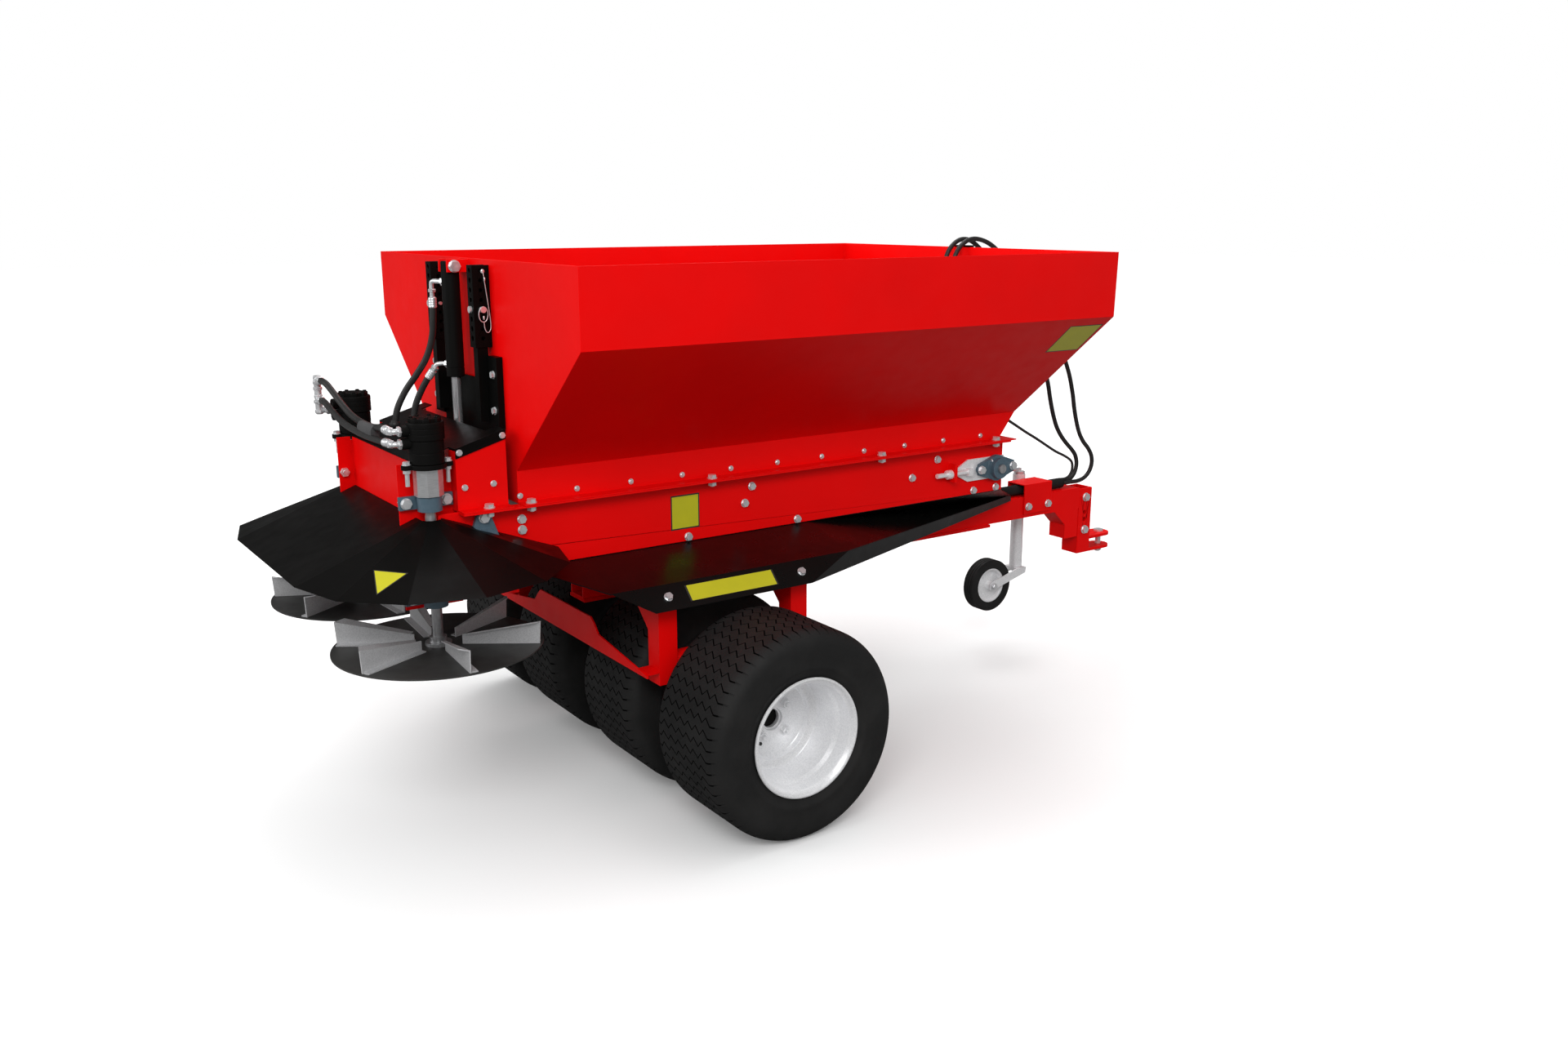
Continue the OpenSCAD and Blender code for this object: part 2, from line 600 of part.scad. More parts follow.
// Bearing block on the plate beside the shaft
module block_bearing(z) translate([spin_x, -spin_y, z]) difference() {
    union() {
        cylinder(r = 31, h = 38, center = true);
        span([-24, 24], [0, spin_y - bearing_plate_y], [-17, 17]);
        span([-70, 70], [spin_y - bearing_plate_y - 13, spin_y - bearing_plate_y], [-17, 17]);
    }
    cylinder(r = shaft_r + running_gap, h = 40, center = true);
}
module spinner_bearings() color(cast_blue) at_axle() both_sides() {
    block_bearing(bearing_z_upper);
    block_bearing(bearing_z_lower);
}
module spinner_shaft(side) color(zinc) at_axle() translate([spin_x, side * spin_y, 0]) {
    rod_z(disc_z + 4, motor_z - 2, 0, 0, shaft_r);
    rod_z(disc_z + 4, disc_z + 12, 0, 0, 34);
    rod_z(disc_z + 12, disc_z + 26, 0, 0, 22);
}
module spinner_shaft_right() spinner_shaft(-1);
module spinner_shaft_left() spinner_shaft(1);
module spinner_disc(side) color(black) at_axle() translate([spin_x, side * spin_y, disc_z])
    cylinder(r = disc_r, h = 4);
module spinner_disc_right() spinner_disc(-1);
module spinner_disc_left() spinner_disc(1);
// Folded vane: foot, tapering web and top lip, from the hub outwards along +X
module vane() {
    web = [[62, 0], [disc_r - 6, 0], [disc_r - 2, 60], [78, 28], [62, 26]];
    side_plate(web, [-1.5, 1.5]);
    span([66, disc_r - 8], [-1.5, 20], [0, 3]);
    lip = [-20, -22, 3];
    panel([[78, -1.5, 28], [disc_r - 2, -1.5, 60], [disc_r - 2, -1.5, 60] + lip, [78, -1.5, 28] + lip / 2],
        [0, 0, -3]);
}
module spinner_vanes(side) color(zinc) at_axle() translate([spin_x, side * spin_y, disc_z + 4])
    mirror([0, side > 0 ? 1 : 0, 0])
        for (i = [0 : vane_count - 1]) rotate([0, 0, vane_lead + 360 / vane_count * i]) vane();
module spinner_vanes_right() spinner_vanes(-1);
module spinner_vanes_left() spinner_vanes(1);

// ---- Running gear ----
module post(x0, x1) difference() {
    span([x0, x1], [-post_y1, -post_y0], [post_z0, beam_z1]);
    span([x0 + 4, x1 - 4], [-post_y1 + 4, -post_y0 - 4], [post_z0 + 90, drawbar_z]);
    // Socket for the pivot pin, open towards the swing axle
    rod_x(x0 > 0 ? x0 - 1 : x0 + 6, x0 > 0 ? x1 - 6 : x1 + 1, -pair_y, pivot_z, pivot_d / 2);
}
module axle_frame() color(red) at_axle() {
    both_sides() {
        post(rear_post_x0, rear_post_x1);
        post(front_post_x0, front_post_x1);
        for (x = [rear_post_x0, front_post_x0]) {
            // Haunch below the cross-beam, and the pad under the chassis
            end_plate([[-post_y0 - 1, 540], [-post_y0 - 1, drawbar_z + 1], [-360, drawbar_z + 1]],
                [x, x + 57]);
            span([x, x + 57], [-chassis_half_w + 8, -chassis_half_w + 60], [beam_z1, chassis_low_z]);
            // Wedge on the post that the guard's lower strip is bolted to
            end_plate([[-post_y1 + 1, wedge_z], [-post_y1 + 1, beam_z1], [-wedge_y + beam_z1, beam_z1],
                [-wedge_y + wedge_z, wedge_z]], [x, x + 30]);
        }
        // Stub that carries the rear brace
        span([brace_x, rear_post_x0 + 1], [-post_y1, -post_y0], [430, 436]);
    }
    for (x = [rear_post_x0, front_post_x0])
        span([x, x + 57], [-post_y0 - 1, post_y0 + 1], [drawbar_z, beam_z1]);
    // Rear brace between the posts, deeper in the middle
    end_plate([[-500, 425], [500, 425], [500, 432], [215, 474], [190, 500], [170, 516],
        [-170, 516], [-190, 500], [-215, 474], [-500, 432]], [brace_x - 5, brace_x]);
}
module pivot_pins() color(steel) at_axle() both_sides()
    rod_x(rear_post_x0 + 6, front_post_x1 - 6, -pair_y, pivot_z, pivot_d / 2);
// Swing axle: sleeve on the pivot pin, hanger and the two stub axles
module axle_beam(side) color(red) at_axle() translate([0, side * pair_y, 0]) difference() {
    union() {
        rod_x(rear_post_x1 + 2, front_post_x0 - 2, 0, pivot_z, 34);
        span([-50, 50], [-30, 30], [axle_z - 30, pivot_z]);
        span([-30, 30], [-120, 120], [axle_z - 30, axle_z + 30]);
        rod_y(-stub_end, stub_end, 0, axle_z, stub_r);
    }
    rod_x(rear_post_x1, front_post_x0, 0, pivot_z, pivot_d / 2 + running_gap);
}
module axle_beam_right() axle_beam(-1);
module axle_beam_left() axle_beam(1);
// Half section of the tyre: radius and distance from the middle, outside then inside
shoulder = 42;
half_w = tyre_w / 2;
tyre_outside = concat([[bead_r + 0.6, 138], [173, 138], [185, half_w - 5], [206, half_w]],
    [for (a = [0 : 15 : 90])
        [tyre_r - shoulder + shoulder * sin(a), half_w - shoulder + shoulder * cos(a)]]);
tyre_inside = concat(
    [for (a = [90 : -30 : 0]) [tyre_r - shoulder + (shoulder - 14) * sin(a),
        half_w - shoulder + (shoulder - 14) * cos(a)]],
    [[206, half_w - 13], [188, half_w - 20], [176, 122], [bead_r + 0.6, 116]]);
function flip_y(points) = [for (i = [len(points) - 1 : -1 : 0]) [points[i][0], -points[i][1]]];
tyre_outline = concat(tyre_outside, flip_y(tyre_outside), flip_y(tyre_inside), tyre_inside);
module wheel_place(pair_side, wheel_side) at_axle()
    translate([0, pair_side * pair_y + wheel_side * wheel_offset, axle_z])
        rotate([wheel_side < 0 ? 90 : -90, 0, 0]) children();
module tyre() color(rubber) rotate_extrude($fn = 96) polygon(tyre_outline);
// Rim, dished towards +z, with its hub and wheel nuts
module rim() color(zinc) {
    difference() {
        rotate_extrude($fn = 96) polygon([
            [bead_r - 4, -150], [bead_r, -150], [rim_r - 3, -152], [rim_r, -148], [rim_r - 1, -144],
            [bead_r + 3, -141], [bead_r, -138], [bead_r, -98], [well_r, -86], [well_r, 83],
            [bead_r, 95], [bead_r, 138], [bead_r + 3, 141], [rim_r - 1, 144], [rim_r, 148],
            [rim_r - 3, 152], [bead_r, 150], [bead_r - 4, 142], [bead_r - 4, 97], [well_r - 4, 85],
            [well_r - 4, -disc_offset + 8], [27.5, -disc_offset + 8], [27.5, -disc_offset - 1],
            [well_r - 4, -disc_offset - 1], [well_r - 4, -88], [bead_r - 4, -100]]);
        for (i = [0 : 3]) rotate([0, 0, 90 * i + 45]) translate([56, 0, -40]) cylinder(r = 7, h = 40);
    }
    // Hub behind the disc, and the nuts on its studs
    difference() {
        union() {
            translate([0, 0, -disc_offset - 15]) cylinder(r = 76, h = 13.8);
            translate([0, 0, -disc_offset - 70]) cylinder(r = 42, h = 60);
            translate([0, 0, -disc_offset - 3]) cylinder(r = 27.4, h = 26);
        }
        translate([0, 0, -disc_offset - 71]) cylinder(r = stub_r + running_gap, h = 92);
    }
    for (i = [0 : 3]) rotate([0, 0, 90 * i + 45]) translate([56, 0, -disc_offset + 8.2]) {
        cylinder(r = 13, h = 12, $fn = 6);
        translate([0, 0, -9]) cylinder(r = 6.8, h = 27);
    }
}
module tyre_right_outer() wheel_place(-1, -1) tyre();
module tyre_right_inner() wheel_place(-1, 1) tyre();
module tyre_left_inner() wheel_place(1, -1) tyre();
module tyre_left_outer() wheel_place(1, 1) tyre();
module rim_right_outer() wheel_place(-1, -1) rim();
module rim_right_inner() wheel_place(-1, 1) rim();
module rim_left_inner() wheel_place(1, -1) rim();
module rim_left_outer() wheel_place(1, 1) rim();

// ---- Drawbar and hitch ----
module drawbar() color(red) at_axle() {
    half = drawbar_w / 2;
    difference() {
        span([drawbar_x0, drawbar_x1], [-half, half], [drawbar_z0, drawbar_z]);
        span([drawbar_x0 - 1, drawbar_x1 + 1], [-half + 5, half - 5], [drawbar_z0 + 5, drawbar_z - 5]);
    }
    // Bottom plate, and the front cross bar on the chassis flanges with its riser
    span([drawbar_x0, 1400], [-half - 8, half + 8], [drawbar_z0 - 10, drawbar_z0]);
    span([1120, 1200], [-half, half], [drawbar_z, cross_bar_z]);
    span([1120, 1200], [-chassis_half_w + plate_t, chassis_half_w - plate_t],
        [cross_bar_z, cross_bar_z + 12]);
    // Gusset and holder below the end, and the tongue plates inside the hitch post
    side_plate([[1745, drawbar_z0], [1806, 470], [1806, 416], [1876, 416], [1876, drawbar_z0]],
        [-half, half]);
    both_sides() difference() {
        span([1870, 1936], [-33, -25], [431, 589]);
        for (z = concat(hitch_bolt_z, hitch_hole_z))
            rod_y(-34, -24, (hitch_x0 + hitch_x1) / 2, z, hitch_hole_r);
    }
}
module hose_saddle() color(red) at_axle() {
    half = drawbar_w / 2;
    span([saddle_x0, saddle_x1], [-half - 6, half + 6], [saddle_top_z - 5, saddle_top_z]);
    both_sides() span([saddle_x0, saddle_x1], [-half - 6, -half], [drawbar_z0 + 14, saddle_top_z - 5]);
}
module hitch_post() color(red) at_axle() difference() {
    span([hitch_x0, hitch_x1], [-40, 40], [hitch_z0, hitch_z1]);
    span([hitch_x0 + 6, hitch_x1 - 6], [-34, 34], [hitch_z0 - 1, hitch_z1 + 1]);
    // Slot for the drawbar's tongue
    span([hitch_x0 - 1, hitch_x0 + 7], [-34, 34], [428, 592]);
    for (z = concat(hitch_bolt_z, hitch_hole_z)) rod_y(-41, 41, (hitch_x0 + hitch_x1) / 2, z, hitch_hole_r);
}
module hitch_clevis() color(red) at_axle() for (z = [345, 395]) difference() {
    union() {
        rod_z(z, z + 12, clevis_x, 0, clevis_r);
        span([hitch_x1, clevis_x], [-clevis_r, clevis_r], [z, z + 12]);
    }
    rod_z(z - 1, z + 13, clevis_x, 0, hitch_pin_d / 2 + 1);
}
module hitch_pin() color(zinc) at_axle() {
    rod_z(326, 407, clevis_x, 0, hitch_pin_d / 2);
    rod_z(407, 415, clevis_x, 0, 19);
    rod_y(-18, 18, clevis_x, 334, 3);
}

// ---- Jockey wheel ----
module at_jockey() at_axle() translate([jockey_x, jockey_y, 0]) children();
module jockey_tube() color(zinc) at_jockey() difference() {
    union() {
        rod_z(306, 672, 0, 0, jockey_tube_d / 2);
        // Clamp on the drawbar's side
        rod_z(545, 595, 0, 0, 29.5);
        span([-34, 34], [drawbar_w / 2 + 6 - jockey_y, 0], [545, 595]);
    }
    rod_z(305, 664, 0, 0, 20.5);
    rod_z(660, 680, 0, 0, 8 + running_gap);
}
module jockey_crank() color(zinc) at_jockey() {
    rod_z(360, 694, 0, 0, 8);
    rod_z(673, 682, 0, 0, 21);
    rod_x(-74, 0, 0, 690, 6);
    rod_z(690, 722, -70, 0, 7);
}
module jockey_leg() color(zinc) at_jockey() difference() {
    rod_z(304, 600, 0, 0, 20.2);
    rod_z(340, 601, 0, 0, 16);
}
module jockey_fork() color(zinc) at_jockey() {
    rod_z(290, 303.7, 0, 0, 26);
    for (s = [-1, 1]) side_plate([[-jockey_trail - 14, jockey_z - 13], [-jockey_trail + 4, jockey_z - 16],
        [20, 282], [24, 303.7], [-24, 303.7], [-jockey_trail, jockey_z + 16],
        [-jockey_trail - 14, jockey_z + 10]], [s * 33 - 2.5, s * 33 + 2.5]);
    span([-24, 24], [-33, 33], [290, 303.7]);
    rod_y(-40, 40, -jockey_trail, jockey_z, 8);
}
module at_jockey_hub() at_jockey() translate([-jockey_trail, 0, jockey_z]) rotate([90, 0, 0]) children();
module jockey_tyre() color(rubber) at_jockey_hub() rotate_extrude($fn = 96) polygon(concat(
    [for (a = [0 : 30 : 90]) [jockey_d / 2 - 14 + 14 * sin(a), 25 - 14 + 14 * cos(a)]],
    [for (a = [90 : 30 : 180]) [jockey_d / 2 - 14 + 14 * sin(a), -25 + 14 + 14 * cos(a)]],
    [[66, -23], [66, 23]]));
module jockey_rim() color(zinc) at_jockey_hub() rotate_extrude($fn = 96)
    polygon([[8 + running_gap, -26], [16, -26], [18, -10], [52, -6], [60, -21], [66, -21], [66, 21],
        [60, 21], [52, 6], [18, 10], [16, 26], [8 + running_gap, 26]]);

// ---- Hoses ----
module hose_sleeve() color(rubber) at_axle() rod_x(1212, 1816, 0, sleeve_z, sleeve_r);
module hose_holder() color(black) at_axle() {
    span([1272, 1290], [-30, 54], [rim_z, rim_z + 6]);
    span([1279, 1286], [-30, 54], [1490, rim_z]);
    span([1261.5, 1286], [0, 20], [1018, 1042]);
}
module hydraulic_hoses() color(rubber) at_axle() {
    hose(motor_hose_a, motor_hose_d / 2, [0, 0, 1]);
    hose(motor_hose_b, motor_hose_d / 2, [0, 0, 1]);
    hose(ram_hose_a, ram_hose_d / 2, [1, 0, 0]);
    hose(ram_hose_b, ram_hose_d / 2, [1, 0, 0]);
}
module supply_hose() color(rubber) at_axle() hose(supply_route, supply_d / 2, [0, 1, 0]);
module return_hose() color(rubber) at_axle() hose(return_route, supply_d / 2, [0, 1, 0]);
module drain_hose() color(rubber) at_axle() hose(drain_route, drain_d / 2, [0, 1, 0]);
module hose_couplings() color(zinc) at_axle() for (route = [supply_route, return_route]) {
    end = route[len(route) - 1];
    rod_z(end[2] - 34, end[2], end[0], end[1], 12);
    rod_z(end[2] - 62, end[2] - 34, end[0], end[1], 15);
    rod_z(end[2] - 82, end[2] - 62, end[0], end[1], 10);
}

// ---- Fasteners ----
module hex_bolts() color(zinc) at_axle() {
    side_xz = [[-546, 863], [-546, 834], [184, 864], [159, 816], [806, 816], [913, 865]];
    both_sides() {
        for (p = side_xz) bolt_out(p[0], -chassis_half_w, p[1], 6, plate_t, 12);
        for (x = [-36, 350, 1077, 1179]) bolt_out(x, -chassis_half_w, 742, 6, plate_t);
        // Hopper flange to chassis flange
        for (x = [-524, 36, 664, 1157]) translate([x, -309, chassis_top_z + flange_t])
            bolt(7, flange_t + plate_t, 14);
        // Chute box to chassis flange, and the cover's screws
        translate([-641, -309, chassis_top_z + plate_t]) bolt(7, 2 * plate_t, 14);
        for (p = [[-697, 966], [-619, 968]]) bolt_out(p[0], -chassis_half_w, p[1], 4, plate_t, 8);
        for (p = [[-708, 1058], [-590, 1092]]) bolt_out(p[0], -chassis_half_w - 3, p[1], 4, plate_t + 3, 8);
        // Spinner bearings
        for (z = [bearing_z_upper, bearing_z_lower]) for (s = [-1, 1])
            bolt_out(spin_x + s * 53, -bearing_plate_y - 13, z, 7, 13 + plate_t, 14);
        // Motor flange, with long shanks beside the spacer
        for (s = [-1, 1]) translate([spin_x + s * 53, -spin_y, motor_z + 12]) bolt(5.5, 12, 42);
        // Belt bearings
        for (s = [-1, 1]) {
            bolt_out(drive_x, -chassis_half_w - 13, roller_z + s * bearing_bolt_span / 2, 7, 13 + plate_t);
            bolt_out(tension_x + s * bearing_bolt_span / 2, -bearing_face_y - 13, roller_z, 7, 13 + 6);
        }
        // Guards to the posts
        for (x = [-240, 198]) translate([x, -guard_fold_y - 28, guard_fold_z - 28]) rotate([45, 0, 0])
            bolt(6, guard_t);
        // Gate guides
        for (z = [1238, 1143]) translate([gate_x0 - 7, -206, z]) rotate([0, -90, 0]) bolt(5, 9);
    }
    // Cylinder's top bolt
    bolt_out(ram_x, -barrel_r - 8, 1512, 8, 2 * barrel_r + 16, 16);
    // Hose saddle and hitch post, right through from side to side
    for (x = [saddle_x0 + 20, saddle_x1 - 20]) bolt_out(x, -drawbar_w / 2 - 6, 573, 7, 6);
    for (z = hitch_bolt_z) bolt_out((hitch_x0 + hitch_x1) / 2, -drawbar_w / 2, z, 8, drawbar_w, 18);
}

hopper();
hopper_screws();
hex_bolts();
chassis_sides();
belt_bed();
conveyor_belt();
drive_roller();
tension_roller();
belt_bearings();
belt_tensioners();
belt_motor();
belt_guards();
chute_box();
chute_cover();
spinner_hood();
gate_rails();
gate_guides();
gate_pins();
gate_plate();
cylinder_barrel();
cylinder_rod();
spinner_motors();
motor_spacers();
spinner_bearings();
spinner_shaft_right();
spinner_disc_right();
spinner_vanes_right();
spinner_shaft_left();
spinner_disc_left();
spinner_vanes_left();
axle_frame();
pivot_pins();
axle_beam_right();
axle_beam_left();
tyre_right_outer();
tyre_right_inner();
tyre_left_inner();
tyre_left_outer();
rim_right_outer();
rim_right_inner();
rim_left_inner();
rim_left_outer();
drawbar();
hose_saddle();
hitch_post();
hitch_clevis();
hitch_pin();
jockey_tube();
jockey_crank();
jockey_leg();
jockey_fork();
jockey_tyre();
jockey_rim();
hose_sleeve();
hose_holder();
hydraulic_hoses();
supply_hose();
return_hose();
drain_hose();
hose_couplings();
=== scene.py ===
import json
import math
import bmesh
import bpy
from mathutils import Matrix, Vector


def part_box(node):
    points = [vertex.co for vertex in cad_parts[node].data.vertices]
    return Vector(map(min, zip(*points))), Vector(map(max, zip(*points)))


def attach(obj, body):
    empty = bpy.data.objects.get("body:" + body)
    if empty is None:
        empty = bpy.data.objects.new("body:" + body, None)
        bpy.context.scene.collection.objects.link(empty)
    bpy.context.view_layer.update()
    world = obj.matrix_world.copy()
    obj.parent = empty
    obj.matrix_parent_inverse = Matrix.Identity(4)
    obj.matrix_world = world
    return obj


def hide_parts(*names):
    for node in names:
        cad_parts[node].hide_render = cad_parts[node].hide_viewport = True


# Looks of the towed spreader. Everything is in metres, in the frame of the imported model:
# +X forwards to the hitch, +Y to the machine's left, +Z up.
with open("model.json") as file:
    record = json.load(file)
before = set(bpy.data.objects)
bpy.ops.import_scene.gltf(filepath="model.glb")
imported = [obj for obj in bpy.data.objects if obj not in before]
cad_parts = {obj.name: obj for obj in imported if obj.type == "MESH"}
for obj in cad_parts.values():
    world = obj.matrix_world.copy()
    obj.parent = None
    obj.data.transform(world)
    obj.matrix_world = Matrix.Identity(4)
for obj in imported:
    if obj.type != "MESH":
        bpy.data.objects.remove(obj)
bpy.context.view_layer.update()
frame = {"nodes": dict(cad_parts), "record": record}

X_AXIS = Vector((1, 0, 0))
Y_AXIS = Vector((0, 1, 0))
Z_AXIS = Vector((0, 0, 1))
BOTH_SIDES = (-1, 1)


# ---- Camera ----
CAMERA_PLACE = (-2.3785, -3.434, 1.6568)
CAMERA_AIM = (0.5586, 0.7961, -0.2329)
CAMERA_LENS = 29.93
CAMERA_SENSOR = 36.0


def make_camera():
    """Camera at the photograph's viewing angle."""
    data = bpy.data.cameras.new("camera")
    data.lens = CAMERA_LENS
    data.sensor_width = CAMERA_SENSOR
    camera = bpy.data.objects.new("camera", data)
    bpy.context.scene.collection.objects.link(camera)
    camera.location = CAMERA_PLACE
    camera.rotation_euler = Vector(CAMERA_AIM).to_track_quat("-Z", "Y").to_euler()
    bpy.context.scene.camera = camera


make_camera()


# ---- Materials ----
def set_range(node, low, high, to_low, to_high):
    sockets = ("From Min", "From Max", "To Min", "To Max")
    for socket, number in zip(sockets, (low, high, to_low, to_high)):
        node.inputs[socket].default_value = number


class Shader:
    """A material with one Principled shader, and helpers that add texture nodes to it."""

    def __init__(self, name, roughness, metallic=0.0, specular=0.5):
        self.material = bpy.data.materials.new(name)
        self.material.use_nodes = True
        self.tree = self.material.node_tree
        self.principled = self.tree.nodes["Principled BSDF"]
        self.place = self.tree.nodes.new("ShaderNodeTexCoord").outputs["Object"]
        values = {"Roughness": roughness, "Metallic": metallic, "Specular IOR Level": specular}
        for socket, value in values.items():
            self.principled.inputs[socket].default_value = value

    def stretched(self, factors):
        """Object coordinates with each axis multiplied by its factor."""
        node = self.tree.nodes.new("ShaderNodeMapping")
        node.inputs["Scale"].default_value = factors
        self.tree.links.new(self.place, node.inputs["Vector"])
        return node.outputs["Vector"]

    def noise(self, scale, detail=2.0, factors=None):
        """Cloudy grey pattern."""
        node = self.tree.nodes.new("ShaderNodeTexNoise")
        node.inputs["Scale"].default_value = scale
        node.inputs["Detail"].default_value = detail
        place = self.stretched(factors) if factors else self.place
        self.tree.links.new(place, node.inputs["Vector"])
        return node.outputs[0]

    def cells(self, scale):
        """A random grey for each cell of a crystal-like pattern."""
        node = self.tree.nodes.new("ShaderNodeTexVoronoi")
        node.inputs["Scale"].default_value = scale
        self.tree.links.new(self.place, node.inputs["Vector"])
        grey = self.tree.nodes.new("ShaderNodeRGBToBW")
        self.tree.links.new(node.outputs["Color"], grey.inputs["Color"])
        return grey.outputs["Val"]

    def remap(self, value, low, high, to_low=0.0, to_high=1.0):
        """The value's range low..high stretched to to_low..to_high."""
        node = self.tree.nodes.new("ShaderNodeMapRange")
        set_range(node, low, high, to_low, to_high)
        self.tree.links.new(value, node.inputs["Value"])
        return node.outputs["Result"]

    def blend(self, value, first, second):
        """Colour that goes from first at 0 to second at 1; either may be a colour or a socket."""
        node = self.tree.nodes.new("ShaderNodeMix")
        node.data_type = "RGBA"
        self.tree.links.new(value, node.inputs[0])
        for socket, color in ((6, first), (7, second)):
            if isinstance(color, bpy.types.NodeSocket):
                self.tree.links.new(color, node.inputs[socket])
            else:
                node.inputs[socket].default_value = (*color, 1.0)
        return node.outputs[2]

    def color(self, socket):
        self.tree.links.new(socket, self.principled.inputs["Base Color"])

    def rough(self, socket):
        self.tree.links.new(socket, self.principled.inputs["Roughness"])

    def bump(self, height, distance):
        """Relief of the given depth, added to any relief that is there already."""
        node = self.tree.nodes.new("ShaderNodeBump")
        node.inputs["Distance"].default_value = distance
        node.inputs["Strength"].default_value = 1.0
        self.tree.links.new(height, node.inputs["Height"])
        normal = self.principled.inputs["Normal"]
        if normal.is_linked:
            self.tree.links.new(normal.links[0].from_socket, node.inputs["Normal"])
        self.tree.links.new(node.outputs["Normal"], normal)


def paint(name, color, dust, roughness, specular):
    """Powder coat: fine orange peel, slight shade changes and a trace of dust."""
    shader = Shader(name, roughness, specular=specular)
    tone = shader.remap(shader.noise(3.0, 4.0), 0.35, 0.65)
    shader.color(shader.blend(tone, color, dust))
    gloss = shader.noise(18.0, 4.0)
    shader.rough(shader.remap(gloss, 0.3, 0.7, roughness - 0.05, roughness + 0.07))
    shader.bump(shader.noise(160.0, 1.0), 0.00002)
    return shader.material


def zinc(name, light, dark, metallic, cell_scale, grain, roughness):
    """Zinc coating: crystal-like spangles under a fine grain."""
    shader = Shader(name, roughness, metallic=metallic)
    spangle = shader.cells(cell_scale)
    fleck = shader.remap(shader.noise(900.0, 3.0), 0.5 - 0.5 * grain, 0.5 + 0.5 * grain)
    patch = shader.blend(shader.remap(spangle, 0.1, 0.9), dark, light)
    shader.color(shader.blend(fleck, patch, light))
    shader.rough(shader.remap(spangle, 0.0, 1.0, roughness - 0.08, roughness + 0.1))
    shader.bump(fleck, 0.00006)
    return shader.material


def turned(name, light, dark, roughness, axis_factors):
    """Bright machined metal with fine tool marks."""
    shader = Shader(name, roughness, metallic=0.85)
    marks = shader.noise(60.0, 5.0, axis_factors)
    shader.color(shader.blend(shader.remap(marks, 0.3, 0.7), dark, light))
    shader.rough(shader.remap(marks, 0.3, 0.7, roughness - 0.06, roughness + 0.08))
    shader.bump(marks, 0.00004)
    return shader.material


def rubber(name, color, dust, roughness, specular):
    """Rubber with a fine grain and faint dust."""
    shader = Shader(name, roughness, specular=specular)
    cloud = shader.remap(shader.noise(9.0, 5.0), 0.4, 0.75)
    shader.color(shader.blend(cloud, color, dust))
    gloss = shader.noise(40.0, 3.0)
    shader.rough(shader.remap(gloss, 0.3, 0.7, roughness - 0.06, roughness + 0.08))
    shader.bump(shader.noise(1100.0, 2.0), 0.0001)
    return shader.material


def cast_paint(name):
    """Thin blue-grey paint over a sand-cast surface."""
    shader = Shader(name, 0.42)
    cloud = shader.noise(70.0, 4.0)
    shader.color(shader.blend(cloud, (0.045, 0.085, 0.115), (0.085, 0.135, 0.175)))
    shader.bump(shader.noise(260.0, 4.0), 0.0005)
    return shader.material


def ribbed_belt(name):
    """Belting with shallow cross ribs."""
    shader = Shader(name, 0.7, specular=0.3)
    wave = shader.tree.nodes.new("ShaderNodeTexWave")
    wave.bands_direction = "X"
    wave.inputs["Scale"].default_value = 16.0
    shader.tree.links.new(shader.place, wave.inputs["Vector"])
    cloud = shader.noise(14.0, 4.0)
    shader.color(shader.blend(cloud, (0.012, 0.012, 0.012), (0.035, 0.034, 0.032)))
    shader.bump(wave.outputs[1], 0.0012)
    shader.bump(shader.noise(700.0, 2.0), 0.0001)
    return shader.material


def braided_hose(name):
    """Hydraulic hose cover with the faint relief of its braid."""
    shader = Shader(name, 0.45, specular=0.4)
    cloud = shader.noise(25.0, 3.0)
    shader.color(shader.blend(cloud, (0.011, 0.011, 0.011), (0.028, 0.027, 0.026)))
    shader.bump(shader.cells(520.0), 0.00012)
    return shader.material


def label_ink(name, color, second):
    """Printed film with slight fading."""
    shader = Shader(name, 0.35, specular=0.4)
    shader.color(shader.blend(shader.noise(30.0, 3.0), color, second))
    shader.bump(shader.noise(500.0, 2.0), 0.00003)
    return shader.material


